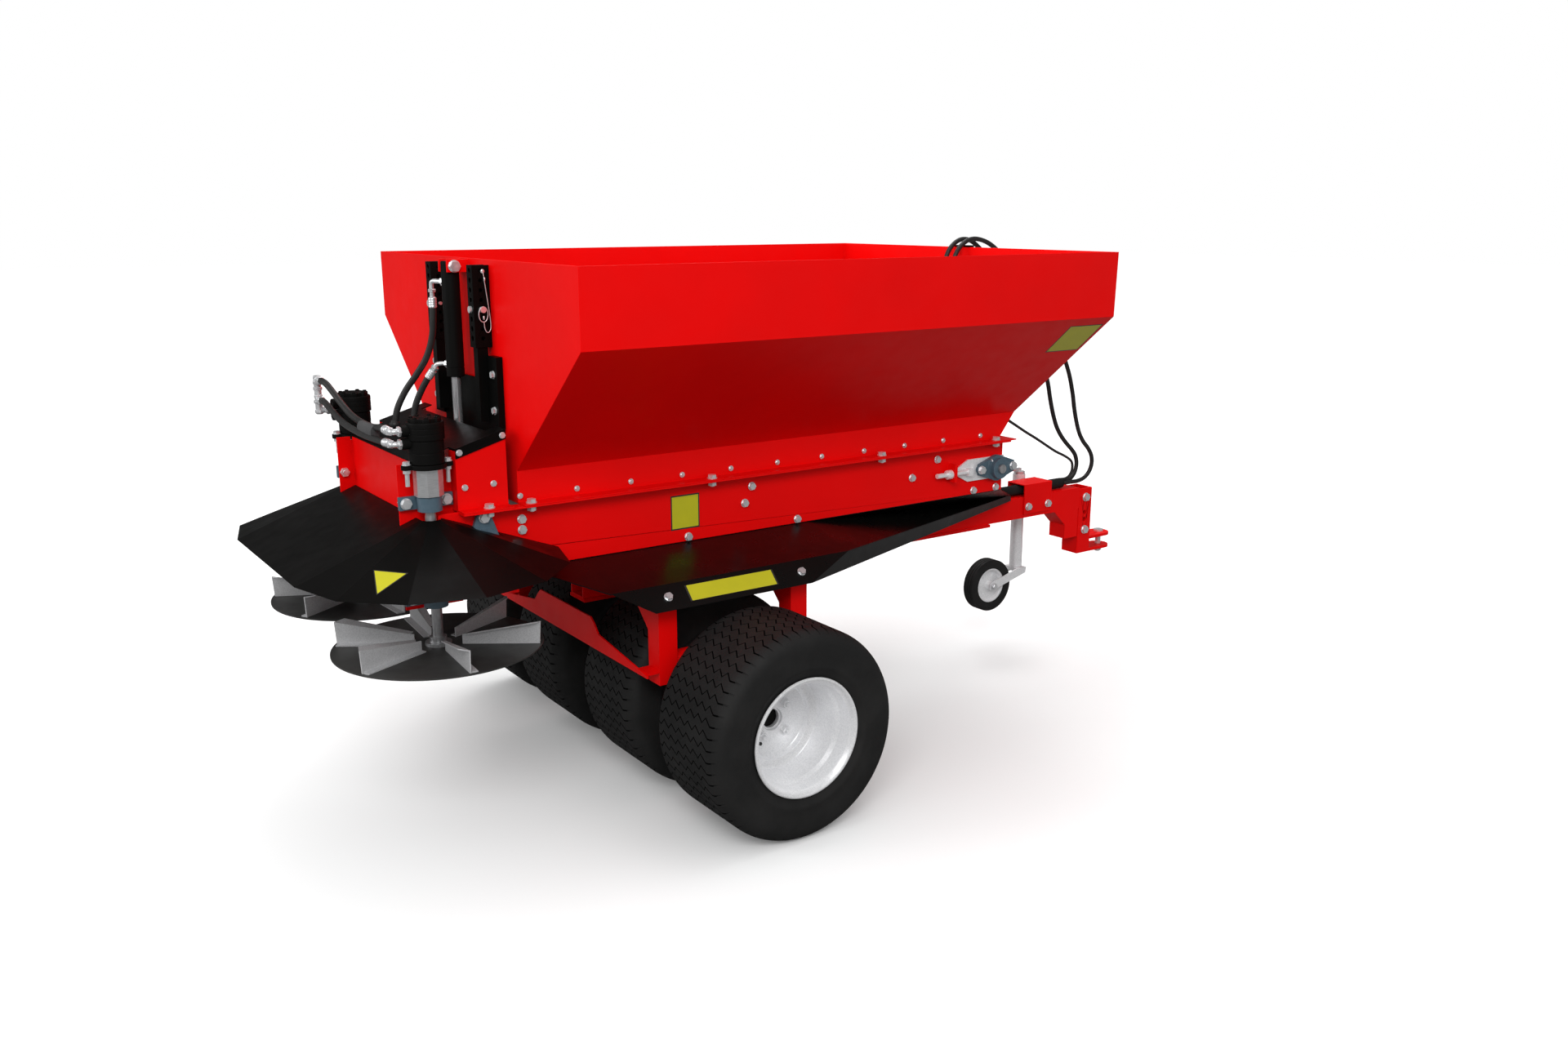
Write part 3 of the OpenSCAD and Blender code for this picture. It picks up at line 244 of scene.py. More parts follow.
# Maker of each finish, and what it is given after the name.
FINISHES = {
    "red_paint": (paint, (0.8, 0.0018, 0.0019), (0.74, 0.0021, 0.0021), 0.34, 0.07),
    "black_paint": (paint, (0.0026, 0.0026, 0.0024), (0.0042, 0.004, 0.0038), 0.34, 0.05),
    "guard_paint": (paint, (0.0026, 0.0026, 0.0024), (0.0042, 0.004, 0.0038), 0.3, 0.22),
    "disc_paint": (paint, (0.030, 0.030, 0.029), (0.052, 0.051, 0.049), 0.45, 0.25),
    "zinc_steel": (zinc, (0.86, 0.87, 0.88), (0.62, 0.63, 0.66), 0.75, 120.0, 0.9, 0.36),
    "plain_steel": (turned, (0.62, 0.62, 0.63), (0.42, 0.42, 0.43), 0.4, (1.0, 8.0, 1.0)),
    "chrome_rod": (turned, (0.82, 0.82, 0.84), (0.74, 0.74, 0.76), 0.16, (6.0, 6.0, 0.4)),
    "cast_blue": (cast_paint,),
    "tyre_rubber": (rubber, (0.0115, 0.0114, 0.0113), (0.0185, 0.0180, 0.0175), 0.68, 0.25),
    # darker, duller rubber for the tyre's groove faces: painted shade in the grooves
    "painted_groove_shade": (rubber, (0.0018, 0.0018, 0.0018), (0.003, 0.0029, 0.0028), 0.9, 0.05),
    "belt_rubber": (ribbed_belt,),
    "hose_rubber": (braided_hose,),
    "galvanised": (zinc, (0.97, 0.97, 0.98), (0.66, 0.67, 0.69), 0.4, 380.0, 0.45, 0.36),
    "vane_steel": (zinc, (0.62, 0.62, 0.63), (0.36, 0.36, 0.37), 0.35, 420.0, 0.5, 0.5),
    "aluminium": (turned, (0.72, 0.73, 0.74), (0.6, 0.61, 0.62), 0.34, (1.0, 1.0, 6.0)),
    "motor_paint": (paint, (0.003, 0.003, 0.0028), (0.0055, 0.0053, 0.005), 0.5, 0.07),
    "grey_wrap": (rubber, (0.05, 0.05, 0.052), (0.07, 0.07, 0.072), 0.5, 0.35),
    "woven_sleeve": (rubber, (0.0085, 0.0085, 0.0085), (0.016, 0.0156, 0.015), 0.8, 0.2),
    "yellow_film": (label_ink, (0.5, 0.48, 0.008), (0.43, 0.415, 0.009)),
    "dark_ink": (label_ink, (0.02, 0.02, 0.018), (0.035, 0.034, 0.03)),
}
MATERIALS = {name: make(name, *settings) for name, (make, *settings) in FINISHES.items()}


# ---- Shapes ----
def turn_to(axis):
    """Rotation that takes +Z to the axis."""
    return Z_AXIS.rotation_difference(Vector(axis)).to_matrix()


def smooth_path(points, steps=6):
    """Catmull-Rom curve through the points."""
    p = [Vector(q) for q in points]
    p = [2 * p[0] - p[1], *p, 2 * p[-1] - p[-2]]
    path = []
    for i in range(1, len(p) - 2):
        for k in range(steps):
            t = k / steps
            path.append(0.5 * (
                2 * p[i] + (p[i + 1] - p[i - 1]) * t
                + (2 * p[i - 1] - 5 * p[i] + 4 * p[i + 1] - p[i + 2]) * t ** 2
                + (3 * p[i] - p[i - 1] - 3 * p[i + 1] + p[i + 2]) * t ** 3))
    return [*path, p[-2]]


def circle(count, twist=0.0):
    """Evenly spaced angles round a full turn."""
    return [2 * math.pi * k / count + twist for k in range(count)]


class Shape:
    """One piece's mesh, put together from lathed, swept and extruded parts in the row frame."""

    def __init__(self):
        self.mesh = bmesh.new()

    def skin(self, rings, looped=False):
        """Faces between rings of points, with flat ends unless the rings close on themselves."""
        made = [[self.mesh.verts.new(p) for p in ring] for ring in rings]
        n = len(made[0])
        pairs = list(zip(made, made[1:] + made[:1])) if looped else list(zip(made, made[1:]))
        for a, b in pairs:
            for k in range(n):
                self.mesh.faces.new((a[k], a[(k + 1) % n], b[(k + 1) % n], b[k]))
        if not looped:
            self.mesh.faces.new(made[0][::-1])
            self.mesh.faces.new(made[-1])

    def lathe(self, profile, origin, axis=Z_AXIS, segments=32, looped=False, twist=0.0):
        """Turned part: profile holds (radius, distance along the axis) pairs."""
        turn, origin = turn_to(axis), Vector(origin)
        self.skin([[origin + turn @ Vector((r * math.cos(a), r * math.sin(a), h))
                    for a in circle(segments, twist)] for r, h in profile], looped)

    def hexagon(self, radius, height, origin, axis=Z_AXIS, twist=0.0):
        """Hexagonal nut or head with chamfered corners."""
        edge = 0.12 * radius
        self.lathe([(radius - edge, 0), (radius, edge), (radius, height - edge),
                    (radius - edge, height)], origin, axis, 6, twist=twist)

    def bolt(self, radius, origin, axis=Z_AXIS):
        """Washer and hexagonal head."""
        axis = Vector(axis).normalized()
        washer = 0.35 * radius
        self.lathe([(2.1 * radius, 0), (2.2 * radius, 0.1 * radius), (2.1 * radius, washer)],
                   origin, axis, 24)
        self.hexagon(1.85 * radius, 1.2 * radius, Vector(origin) + washer * axis, axis)

    def box(self, low, high):
        corners = [(low[0], low[1]), (high[0], low[1]), (high[0], high[1]), (low[0], high[1])]
        self.skin([[Vector((x, y, z)) for x, y in corners] for z in (low[2], high[2])])

    def plate(self, outline, thickness):
        """Flat plate: outline is a ring of points, thickness a vector."""
        self.skin([[Vector(p) for p in outline], [Vector(p) + Vector(thickness) for p in outline]])

    def tube(self, path, radius, sides=14):
        """Round bar or hose along a path."""
        path = [Vector(p) for p in path]
        last = len(path) - 1
        ahead = [(path[min(i + 1, last)] - path[max(i - 1, 0)]).normalized()
                 for i in range(len(path))]
        across = ahead[0].orthogonal().normalized()
        rings = []
        for point, along in zip(path, ahead):
            across = (across - along * across.dot(along)).normalized()
            other = along.cross(across)
            rings.append([point + radius * (across * math.cos(a) + other * math.sin(a))
                          for a in circle(sides)])
        self.skin(rings)

    def piece(self, name, body, material, slot=None, replaces=(), bevel=0.0, sharp=38.0):
        """The finished piece on its body; sharp is the angle in degrees that keeps an edge hard."""
        bmesh.ops.recalc_face_normals(self.mesh, faces=self.mesh.faces[:])
        mesh = bpy.data.meshes.new(name)
        self.mesh.to_mesh(mesh)
        self.mesh.free()
        mesh.shade_smooth()
        mesh.set_sharp_from_angle(angle=math.radians(sharp))
        mesh.materials.append(MATERIALS[material])
        piece = bpy.data.objects.new(name, mesh)
        bpy.context.scene.collection.objects.link(piece)
        if bevel:
            soften(piece, bevel)
        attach(piece, body)
        if replaces:
            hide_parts(*replaces)
        return piece


def soften(piece, width, segments=2):
    """Rounds the sharp edges and keeps flat faces flat."""
    bevel = piece.modifiers.new("edges", "BEVEL")
    bevel.width = width
    bevel.segments = segments
    bevel.limit_method = "ANGLE"
    bevel.angle_limit = math.radians(32)
    weighted = piece.modifiers.new("normals", "WEIGHTED_NORMAL")
    weighted.keep_sharp = False


def centre(node):
    low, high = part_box(node)
    return (low + high) / 2


# ---- Free hoses ----
SUPPLY_ROUTE = [
    (1.342, -0.008, 0.631), (1.382, -0.008, 0.63), (1.424, -0.009, 0.63), (1.458, -0.011, 0.639),
    (1.482, -0.014, 0.662), (1.491, -0.017, 0.695), (1.483, -0.019, 0.728), (1.461, -0.02, 0.758),
    (1.432, -0.021, 0.786), (1.408, -0.021, 0.82), (1.39, -0.02, 0.864), (1.374, -0.019, 0.92),
    (1.36, -0.018, 0.984), (1.332, -0.016, 1.07), (1.268, -0.014, 1.19), (1.178, -0.012, 1.304),
    (1.08, -0.01, 1.404), (0.996, -0.008, 1.482), (0.922, -0.008, 1.536), (0.862, -0.008, 1.558),
    (0.81, -0.008, 1.557), (0.766, -0.008, 1.53), (0.742, -0.008, 1.486), (0.734, -0.008, 1.43)]
RETURN_ROUTE = [
    (1.342, 0.01, 0.631), (1.376, 0.01, 0.631), (1.408, 0.011, 0.64), (1.431, 0.013, 0.663),
    (1.44, 0.015, 0.695), (1.432, 0.017, 0.727), (1.412, 0.019, 0.752), (1.384, 0.021, 0.778),
    (1.356, 0.023, 0.808), (1.33, 0.025, 0.846), (1.309, 0.026, 0.894), (1.29, 0.027, 0.954),
    (1.266, 0.028, 1.04), (1.208, 0.029, 1.172), (1.132, 0.03, 1.284), (1.048, 0.031, 1.382),
    (0.97, 0.032, 1.464), (0.906, 0.032, 1.522), (0.854, 0.032, 1.554), (0.806, 0.032, 1.557),
    (0.764, 0.032, 1.532), (0.74, 0.032, 1.488), (0.732, 0.032, 1.43)]
DRAIN_ROUTE = [
    (1.342, 0, 0.645), (1.362, 0, 0.645), (1.382, 0, 0.651), (1.396, 0, 0.666), (1.401, 0, 0.686),
    (1.396, 0, 0.706), (1.38, 0.001, 0.721), (1.348, 0.001, 0.738), (1.306, 0.002, 0.757),
    (1.256, 0.003, 0.785), (1.202, 0.004, 0.816), (1.146, 0.005, 0.846), (1.09, 0.006, 0.878),
    (1.034, 0.007, 0.91), (0.978, 0.008, 0.944), (0.926, 0.009, 0.976), (0.88, 0.01, 1.004),
    (0.84, 0.01, 1.024), (0.812, 0.01, 1.03)]


def coupler(name, end):
    """Quick coupler that hangs on the end of a hose: crimped ferrule, hexagon, sleeve and nose."""
    shape = Shape()
    crimp = [(0.0105, 0.004), (0.0122, 0.001)]
    for k in range(5):
        top = -0.006 * k
        crimp += [(0.0124, top - 0.001), (0.0112, top - 0.003), (0.0124, top - 0.005)]
    shape.lathe(crimp + [(0.0105, -0.031)], end, segments=28)
    shape.hexagon(0.0138, 0.009, Vector(end) - Vector((0, 0, 0.040)))
    knurl = [(0.0128, -0.040)]
    for k in range(5):
        knurl += [(0.0149, -0.0415 - 0.004 * k), (0.0142, -0.0435 - 0.004 * k)]
    shape.lathe(knurl + [(0.0128, -0.0625)], end, segments=28)
    shape.lathe([(0.0098, -0.0625), (0.0098, -0.080), (0.0085, -0.0815)], end, segments=28)
    return shape.piece(name, "chassis", "zinc_steel", "zinc_steel")


def free_hose(node, route, diameter):
    """Hose along its route, in place of its CAD node."""
    path = smooth_path(route)
    shape = Shape()
    shape.tube(path, diameter / 2, 12)
    hose = shape.piece(node + "_line", "chassis", "hose_rubber", "hose_rubber", [node], sharp=60)


SUPPLY_COUPLER = coupler("supply_coupler", SUPPLY_ROUTE[-1])
RETURN_COUPLER = coupler("return_coupler", RETURN_ROUTE[-1])
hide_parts("hose_couplings")
free_hose("supply_hose", SUPPLY_ROUTE, 0.016)
free_hose("return_hose", RETURN_ROUTE, 0.016)
free_hose("drain_hose", DRAIN_ROUTE, 0.010)

# ---- CAD nodes that are shown: finish and softened edges ----
SPECIAL_FINISH = {
    "jockey_tube": "galvanised", "jockey_leg": "galvanised", "jockey_fork": "galvanised",
    "jockey_crank": "zinc_steel", "motor_spacers": "aluminium", "belt_tensioners": "galvanised",
    "spinner_vanes_right": "vane_steel", "spinner_vanes_left": "vane_steel",
    "spinner_shaft_right": "plain_steel", "spinner_shaft_left": "plain_steel",
    "spinner_disc_right": "disc_paint", "spinner_disc_left": "disc_paint",
    "belt_guards": "guard_paint", "belt_motor": "motor_paint",
}
EDGE = {
    "hex_bolts": 0.0005, "hopper_screws": 0.0004, "hopper": 0.0012, "chassis_sides": 0.0012,
    "spinner_hood": 0.0006, "belt_guards": 0.0007, "axle_frame": 0.002, "drawbar": 0.0025,
    "hitch_post": 0.003, "hitch_clevis": 0.0015, "belt_bearings": 0.002,
    "spinner_bearings": 0.002, "hose_saddle": 0.0015,
}
DEFAULT_EDGE = 0.0008
WELD_DISTANCE = 0.00001
FOLDED_SHEETS = {"spinner_hood"}  # shown with flat facets
SLOT_OF = {part["node"]: part["material_slot"] for part in frame["record"]["subparts"]}
for node_name, node in frame["nodes"].items():
    node.data.materials.clear()
    node.data.materials.append(MATERIALS[SPECIAL_FINISH.get(node_name, SLOT_OF[node_name])])
    folded = node_name in FOLDED_SHEETS
    node.data.polygons.foreach_set("use_smooth", [not folded] * len(node.data.polygons))
    weld = node.modifiers.new("weld", "WELD")
    weld.merge_threshold = WELD_DISTANCE
    if not folded:
        soften(node, EDGE.get(node_name, DEFAULT_EDGE))

# ---- Wheels ----
# All four main wheels are alike, so the sizes are read from one of them.
TYRE_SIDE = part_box("tyre_right_outer")[1][1] - centre("tyre_right_outer")[1]
TYRE_R = centre("tyre_right_outer")[2]
RIM_R = (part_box("rim_right_outer")[1][0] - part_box("rim_right_outer")[0][0]) / 2
SHOULDER = 0.042
TREAD_HALF = TYRE_SIDE - SHOULDER
GROOVES = 58
GROOVE_W = 0.0044
GROOVE_WALL = 0.0007
GROOVE_DEPTH = 0.0055
ZIGZAG = 0.0080  # shift of a groove to either side
PERIODS = 6  # zigzags across the tread
LONG_LEG = 0.68  # share of each zigzag that its long leg takes


def groove_shift(y):
    """Distance round the tread by which the zigzag of a groove is shifted at width y."""
    across = min(max(y, -TREAD_HALF), TREAD_HALF) + TREAD_HALF
    phase = across / (2 * TREAD_HALF) * PERIODS % 1.0
    if phase < LONG_LEG:
        return ZIGZAG * (1 - 2 * phase / LONG_LEG)
    return ZIGZAG * (-1 + 2 * (phase - LONG_LEG) / (1 - LONG_LEG))


def tyre_section():
    """Closed section of the tyre: (radius, width) pairs with the share of the groove depth."""
    widths = []
    for k in range(PERIODS):
        for share in (0.0, LONG_LEG / 2, LONG_LEG):
            widths.append(-TREAD_HALF + 2 * TREAD_HALF * (k + share) / PERIODS)
    crown = [(TYRE_R, y, 1.0) for y in widths + [TREAD_HALF]]
    side = []
    for degrees in (78, 66, 54, 42, 30, 18, 6):
        a = math.radians(degrees)
        side.append((TYRE_R - SHOULDER + SHOULDER * math.sin(a),
                     TREAD_HALF + SHOULDER * math.cos(a), max(0.0, (degrees - 42) / 48)))
    wall = [(0.240, 0.1552), (0.222, 0.1545), (0.206, 0.1525), (0.200, 0.1538),
            (0.192, 0.1535), (0.187, 0.1505), (0.180, 0.1475), (0.174, 0.1450),
            (0.170, 0.1420), (0.1535, 0.1385)]
    side += [(r, min(y, TYRE_SIDE), 0.0) for r, y in wall]
    inside = [(0.1535, 0.117, 0.0), (0.185, 0.132, 0.0), (0.235, 0.141, 0.0),
              (0.270, 0.128, 0.0), (0.281, 0.100, 0.0)]
    far = [(r, -y, d) for r, y, d in reversed(side)]
    return crown + side + inside + [(r, -y, d) for r, y, d in reversed(inside)] + far


def wheel_tyre(node, body):
    """Tyre swept round the axle, with zigzag grooves cut across its tread, and painted shade in the
    grooves.
    """
    shape = Shape()
    origin = centre(node)
    section = tyre_section()
    step = 2 * math.pi / GROOVES
    half, wall = GROOVE_W / 2 / TYRE_R, GROOVE_WALL / TYRE_R
    columns = []
    for groove in range(GROOVES):
        at = groove * step
        columns += [(at - half, 0.0), (at - half + wall, 1.0), (at + half - wall, 1.0),
                    (at + half, 0.0), (at + step / 2, 0.0)]
    rings = []
    for angle, cut in columns:
        ring = []
        for r, y, share in section:
            fade = min(1.0, max(0.0, (TYRE_SIDE + 0.004 - abs(y)) / SHOULDER))
            a = angle + groove_shift(y) / TYRE_R * fade
            r -= cut * share * GROOVE_DEPTH
            y -= cut * math.copysign(share * GROOVE_DEPTH, y) if 0.0 < share < 1.0 else 0.0
            ring.append(origin + Vector((r * math.cos(a), y, r * math.sin(a))))
        rings.append(ring)
    shape.skin(rings, looped=True)
    tyre = shape.piece(node + "_tread", body, "tyre_rubber", "tyre_rubber", [node], sharp=42)
    # groove faces get the darker rubber: painted shade in the grooves
    tyre.data.materials.append(MATERIALS["painted_groove_shade"])
    around = len(section)
    for face in tyre.data.polygons:
        column, row = divmod(face.index, around)
        in_groove = column % 5 < 3  # of a groove's five columns, the last two are the block
        if in_groove and min(section[row][2], section[(row + 1) % around][2]) > 0.3:
            face.material_index = 1


def wheel_rim(node, body, outward):
    """Rim dished towards outward (+1 or -1 along Y), with disc, hub, stud nuts and valve."""
    axis = Y_AXIS * outward
    origin = centre(node)
    shape = Shape()
    lip = [(RIM_R - 0.006, 0.1425), (RIM_R - 0.0015, 0.1440), (RIM_R, 0.1475),
           (RIM_R - 0.0015, 0.1508), (RIM_R - 0.005, 0.1520), (RIM_R - 0.009, 0.1505),
           (RIM_R - 0.0125, 0.1465)]
    dish = [(0.1495, 0.1385), (0.1475, 0.1340), (0.1472, 0.1000), (0.1462, 0.0965),
            (0.1392, 0.0890), (0.1380, 0.0850), (0.1352, 0.0160), (0.1335, 0.0080),
            (0.1295, 0.0045), (0.1150, 0.0010), (0.1125, -0.0010), (0.1095, -0.0130),
            (0.1065, -0.0162), (0.1000, -0.0166), (0.0780, -0.0172), (0.0760, -0.0165),
            (0.0740, -0.0160), (0.0335, -0.0160), (0.0320, -0.0175), (0.0315, -0.0250)]
    back = [(0.1000, -0.0250), (0.1290, -0.0220), (0.1330, -0.0300), (0.1340, -0.0880),
            (0.1475, -0.1000), (0.1475, -0.1340)]
    far = [(r, -h) for r, h in reversed(lip)]
    outside = [(0.1525, -0.1380), (0.1524, -0.0980), (0.1380, -0.0860), (0.1380, 0.0830),
               (0.1524, 0.0950), (0.1524, 0.1380)]
    shape.lathe(dish + back + far[:-1] + outside + lip[1:], origin, axis, 128, looped=True)
    shape.lathe([(0.0580, -0.0250), (0.0760, -0.0262), (0.0760, -0.0390),
                 (0.0420, -0.0400), (0.0420, -0.0945), (0.0300, -0.0950),
                 (0.0270, -0.0300), (0.0270, -0.0250)], origin, axis, 48, looped=True)
    turn = turn_to(axis)
    for k in range(4):
        a = math.radians(45 + 90 * k)
        foot = origin + turn @ Vector((0.056 * math.cos(a), 0.056 * math.sin(a), -0.0160))
        shape.lathe([(0.0150, 0), (0.0155, 0.001), (0.0130, 0.004)], foot, axis, 24)
        shape.hexagon(0.0128, 0.0125, foot + 0.003 * axis, axis, 0.3 * k)
        shape.lathe([(0.0068, 0.012), (0.0068, 0.0215), (0.0055, 0.0230)], foot, axis, 18)
    shape.piece(node + "_wheel", body, "galvanised", "zinc_steel", [node], sharp=32)
    cap = Shape()
    cap.lathe([(0.0262, -0.094), (0.0262, -0.036), (0.0235, -0.033), (0.0080, -0.0325)],
              origin, axis, 36)
    cap.piece(node + "_hub_plug", body, "motor_paint", "black_paint")
    valve = Shape()
    foot = origin + turn @ Vector((-0.1355, 0.0, 0.0700))
    lean = (axis + turn @ Vector((0.35, 0, 0))).normalized()
    valve.lathe([(0.0080, -0.004), (0.0080, 0.002), (0.0042, 0.008), (0.0036, 0.030),
                 (0.0046, 0.031), (0.0046, 0.041), (0.0036, 0.042)], foot, lean, 16)
    valve.piece(node + "_valve", body, "hose_rubber", "hose_rubber")


for side_name, side in (("right", -1), ("left", 1)):
    for position, outward in (("outer", side), ("inner", -side)):
        wheel = f"{side_name}_{position}"
        wheel_tyre("tyre_" + wheel, "wheel_" + wheel)
        wheel_rim("rim_" + wheel, "wheel_" + wheel, outward)


def jockey_wheel():
    """Grooved tyre, hub with riveted faces, and the nuts of the fork."""
    origin = centre("jockey_tyre")
    radius = (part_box("jockey_tyre")[1][2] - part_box("jockey_tyre")[0][2]) / 2
    tread = []
    for k in range(4):
        y = -0.018 + 0.012 * k
        tread += [(radius, y - 0.0045), (radius, y + 0.0045), (radius - 0.0025, y + 0.0052),
                  (radius - 0.0025, y + 0.0068)]
    section = [(0.0665, -0.0225), (0.074, -0.0240), (0.086, -0.0249), (0.0935, -0.0235),
               (0.0975, -0.0215), *tread[:-2], (0.0975, 0.0235), (0.0920, 0.0245),
               (0.086, 0.0249), (0.074, 0.0240), (0.0665, 0.0225)]
    shape = Shape()
    shape.lathe(section, origin, Y_AXIS, 96, looped=True)
    shape.piece("jockey_wheel_tyre", "jockey_wheel", "tyre_rubber", "tyre_rubber",
                ["jockey_tyre"], sharp=30)
    hub = Shape()
    half = [(0.0085, 0.0255), (0.0150, 0.0255), (0.0162, 0.0240), (0.0180, 0.0100),
            (0.0280, 0.0072), (0.0480, 0.0072), (0.0545, 0.0105), (0.0600, 0.0205),
            (0.0640, 0.0222), (0.0664, 0.0212)]
    hub.lathe(half + [(r, -h) for r, h in reversed(half)], origin, Y_AXIS, 72, looped=True)
    for face in BOTH_SIDES:
        for k in range(6):
            a = math.radians(60 * k)
            rivet = origin + Vector((0.038 * math.cos(a), face * 0.0070, 0.038 * math.sin(a)))
            hub.lathe([(0.0075, 0), (0.0075, 0.0008), (0.0050, 0.0016)], rivet, Y_AXIS * face, 18)
    hub.piece("jockey_wheel_rim", "jockey_wheel", "galvanised", "zinc_steel",
              ["jockey_rim"], sharp=32)
    ends = Shape()
    for face in BOTH_SIDES:
        ends.bolt(0.0060, origin + Vector((0, face * 0.0402, 0)), Y_AXIS * face)
    ends.piece("jockey_axle_nuts", "jockey_fork", "zinc_steel", "zinc_steel")


jockey_wheel()

# ---- Hydraulics at the rear ----
AXLE_X = -0.474


def spot(x, y, z):
    """Point given in millimetres from the ground below the main axles."""
    return Vector((AXLE_X + x / 1000, y / 1000, z / 1000))


MOTOR_HOSE_A = [
    (-1.344, 0.332, 1.188), (-1.344, 0.3, 1.191), (-1.342, 0.262, 1.186), (-1.338, 0.214, 1.166),
    (-1.334, 0.16, 1.142), (-1.331, 0.1, 1.122), (-1.33, 0.03, 1.112), (-1.331, -0.04, 1.11),
    (-1.336, -0.112, 1.114), (-1.344, -0.19, 1.124), (-1.348, -0.256, 1.126)]
MOTOR_HOSE_B = [
    (-1.344, 0.332, 1.132), (-1.347, 0.296, 1.136), (-1.35, 0.25, 1.132), (-1.351, 0.19, 1.118),
    (-1.351, 0.13, 1.104), (-1.351, 0.07, 1.096), (-1.351, 0, 1.092), (-1.351, -0.08, 1.09),
    (-1.35, -0.17, 1.091), (-1.348, -0.256, 1.094)]
RAM_HOSE_A = [
    (-1.096, 0.064, 1.424), (-1.096, 0.066, 1.38), (-1.1, 0.072, 1.32), (-1.114, 0.088, 1.262),
    (-1.138, 0.112, 1.212), (-1.164, 0.132, 1.168), (-1.188, 0.14, 1.118), (-1.198, 0.142, 1.069)]
RAM_HOSE_B = [
    (-1.104, 0.072, 1.226), (-1.110, 0.079, 1.214), (-1.118, 0.088, 1.198), (-1.131, 0.101, 1.168),
    (-1.145, 0.112, 1.128), (-1.154, 0.115, 1.082)]
REAR_HOSE_R = 0.009


def ferrule(shape, end, axis, radius, length=0.026):
    """Crimped ferrule that grips a hose; axis points from the fitting into the hose."""
    profile = [(radius - 0.002, -0.004), (radius + 0.0012, -0.002)]
    rings = 4
    for k in range(rings):
        at = length * k / rings
        profile += [(radius + 0.0022, at + 0.0005), (radius + 0.0022, at + 0.0045),
                    (radius + 0.0012, at + 0.0052)]
    shape.lathe(profile + [(radius + 0.0002, length)], end, axis, 28)


def rear_hoses():
    """Hoses of the spinner motors and the gate cylinder, with ferrules, grommets and a wrap."""
    hoses, grips = Shape(), Shape()
    for route in (MOTOR_HOSE_A, MOTOR_HOSE_B, RAM_HOSE_A, RAM_HOSE_B):
        path = smooth_path(route)
        hoses.tube(path, REAR_HOSE_R, 18)
        ferrule(grips, path[0], path[2] - path[0], REAR_HOSE_R)
        if route in (MOTOR_HOSE_A, MOTOR_HOSE_B):
            ferrule(grips, path[-1], path[-3] - path[-1], REAR_HOSE_R)
        else:
            grommet = [(0.0005, 0.018), (0.0025, 0.014), (0.0060, 0.011), (0.0062, 0.002),
                       (0.0040, 0.0)]
            hoses.lathe([(REAR_HOSE_R + r, h) for r, h in grommet], path[-1], Z_AXIS, 28)
    hoses.piece("rear_hydraulic_hoses", "chassis", "hose_rubber", "hose_rubber",
                ["hydraulic_hoses"], sharp=60)
    grips.piece("rear_hose_ferrules", "chassis", "zinc_steel", "zinc_steel")
    wrap = Shape()
    middle = []
    for a, b in zip(smooth_path(MOTOR_HOSE_A), smooth_path(MOTOR_HOSE_B)):
        if -0.12 < a.y < 0.0:
            middle.append((a + b) / 2 + Vector((0, 0, 0.001)))
    rings = []
    for k, point in enumerate(middle):
        pinch = 0.9 if k in (0, len(middle) - 1) else 1.0
        wide, high = 0.0135 * pinch, 0.0215 * pinch
        rings.append([point + Vector((wide * math.cos(a), 0, high * math.sin(a)))
                      for a in circle(28)])
    wrap.skin(rings)
    wrap.piece("rear_hose_wrap", "chassis", "grey_wrap", "hose_rubber", sharp=50)


def motor_cap(shape, base):
    """Top cap with seven lobes and their screws."""
    lobes, samples = 7, 112
    rings = []
    for radius, height in ((0.0405, 0.117), (0.0410, 0.119), (0.0410, 0.1265), (0.0398, 0.1280)):
        ring = []
        for k in range(samples):
            a = 2 * math.pi * k / samples
            swell = min(1.0, max(0.0, 0.5 + 1.6 * math.cos(lobes * a)))
            r = radius - 0.0042 * (1 - swell)
            ring.append(base + Vector((r * math.cos(a), r * math.sin(a), height)))
        rings.append(ring)
    shape.skin(rings)
    for k in range(lobes):
        a = 2 * math.pi * k / lobes
        top = base + Vector((0.0335 * math.cos(a), 0.0335 * math.sin(a), 0.1275))
        shape.lathe([(0.0052, 0), (0.0052, 0.0030), (0.0047, 0.0036), (0.0026, 0.0036),
                     (0.0024, 0.0022)], top, segments=18)
    shape.lathe([(0.0160, 0.127), (0.0155, 0.1290), (0.0060, 0.1292)], base, segments=32)


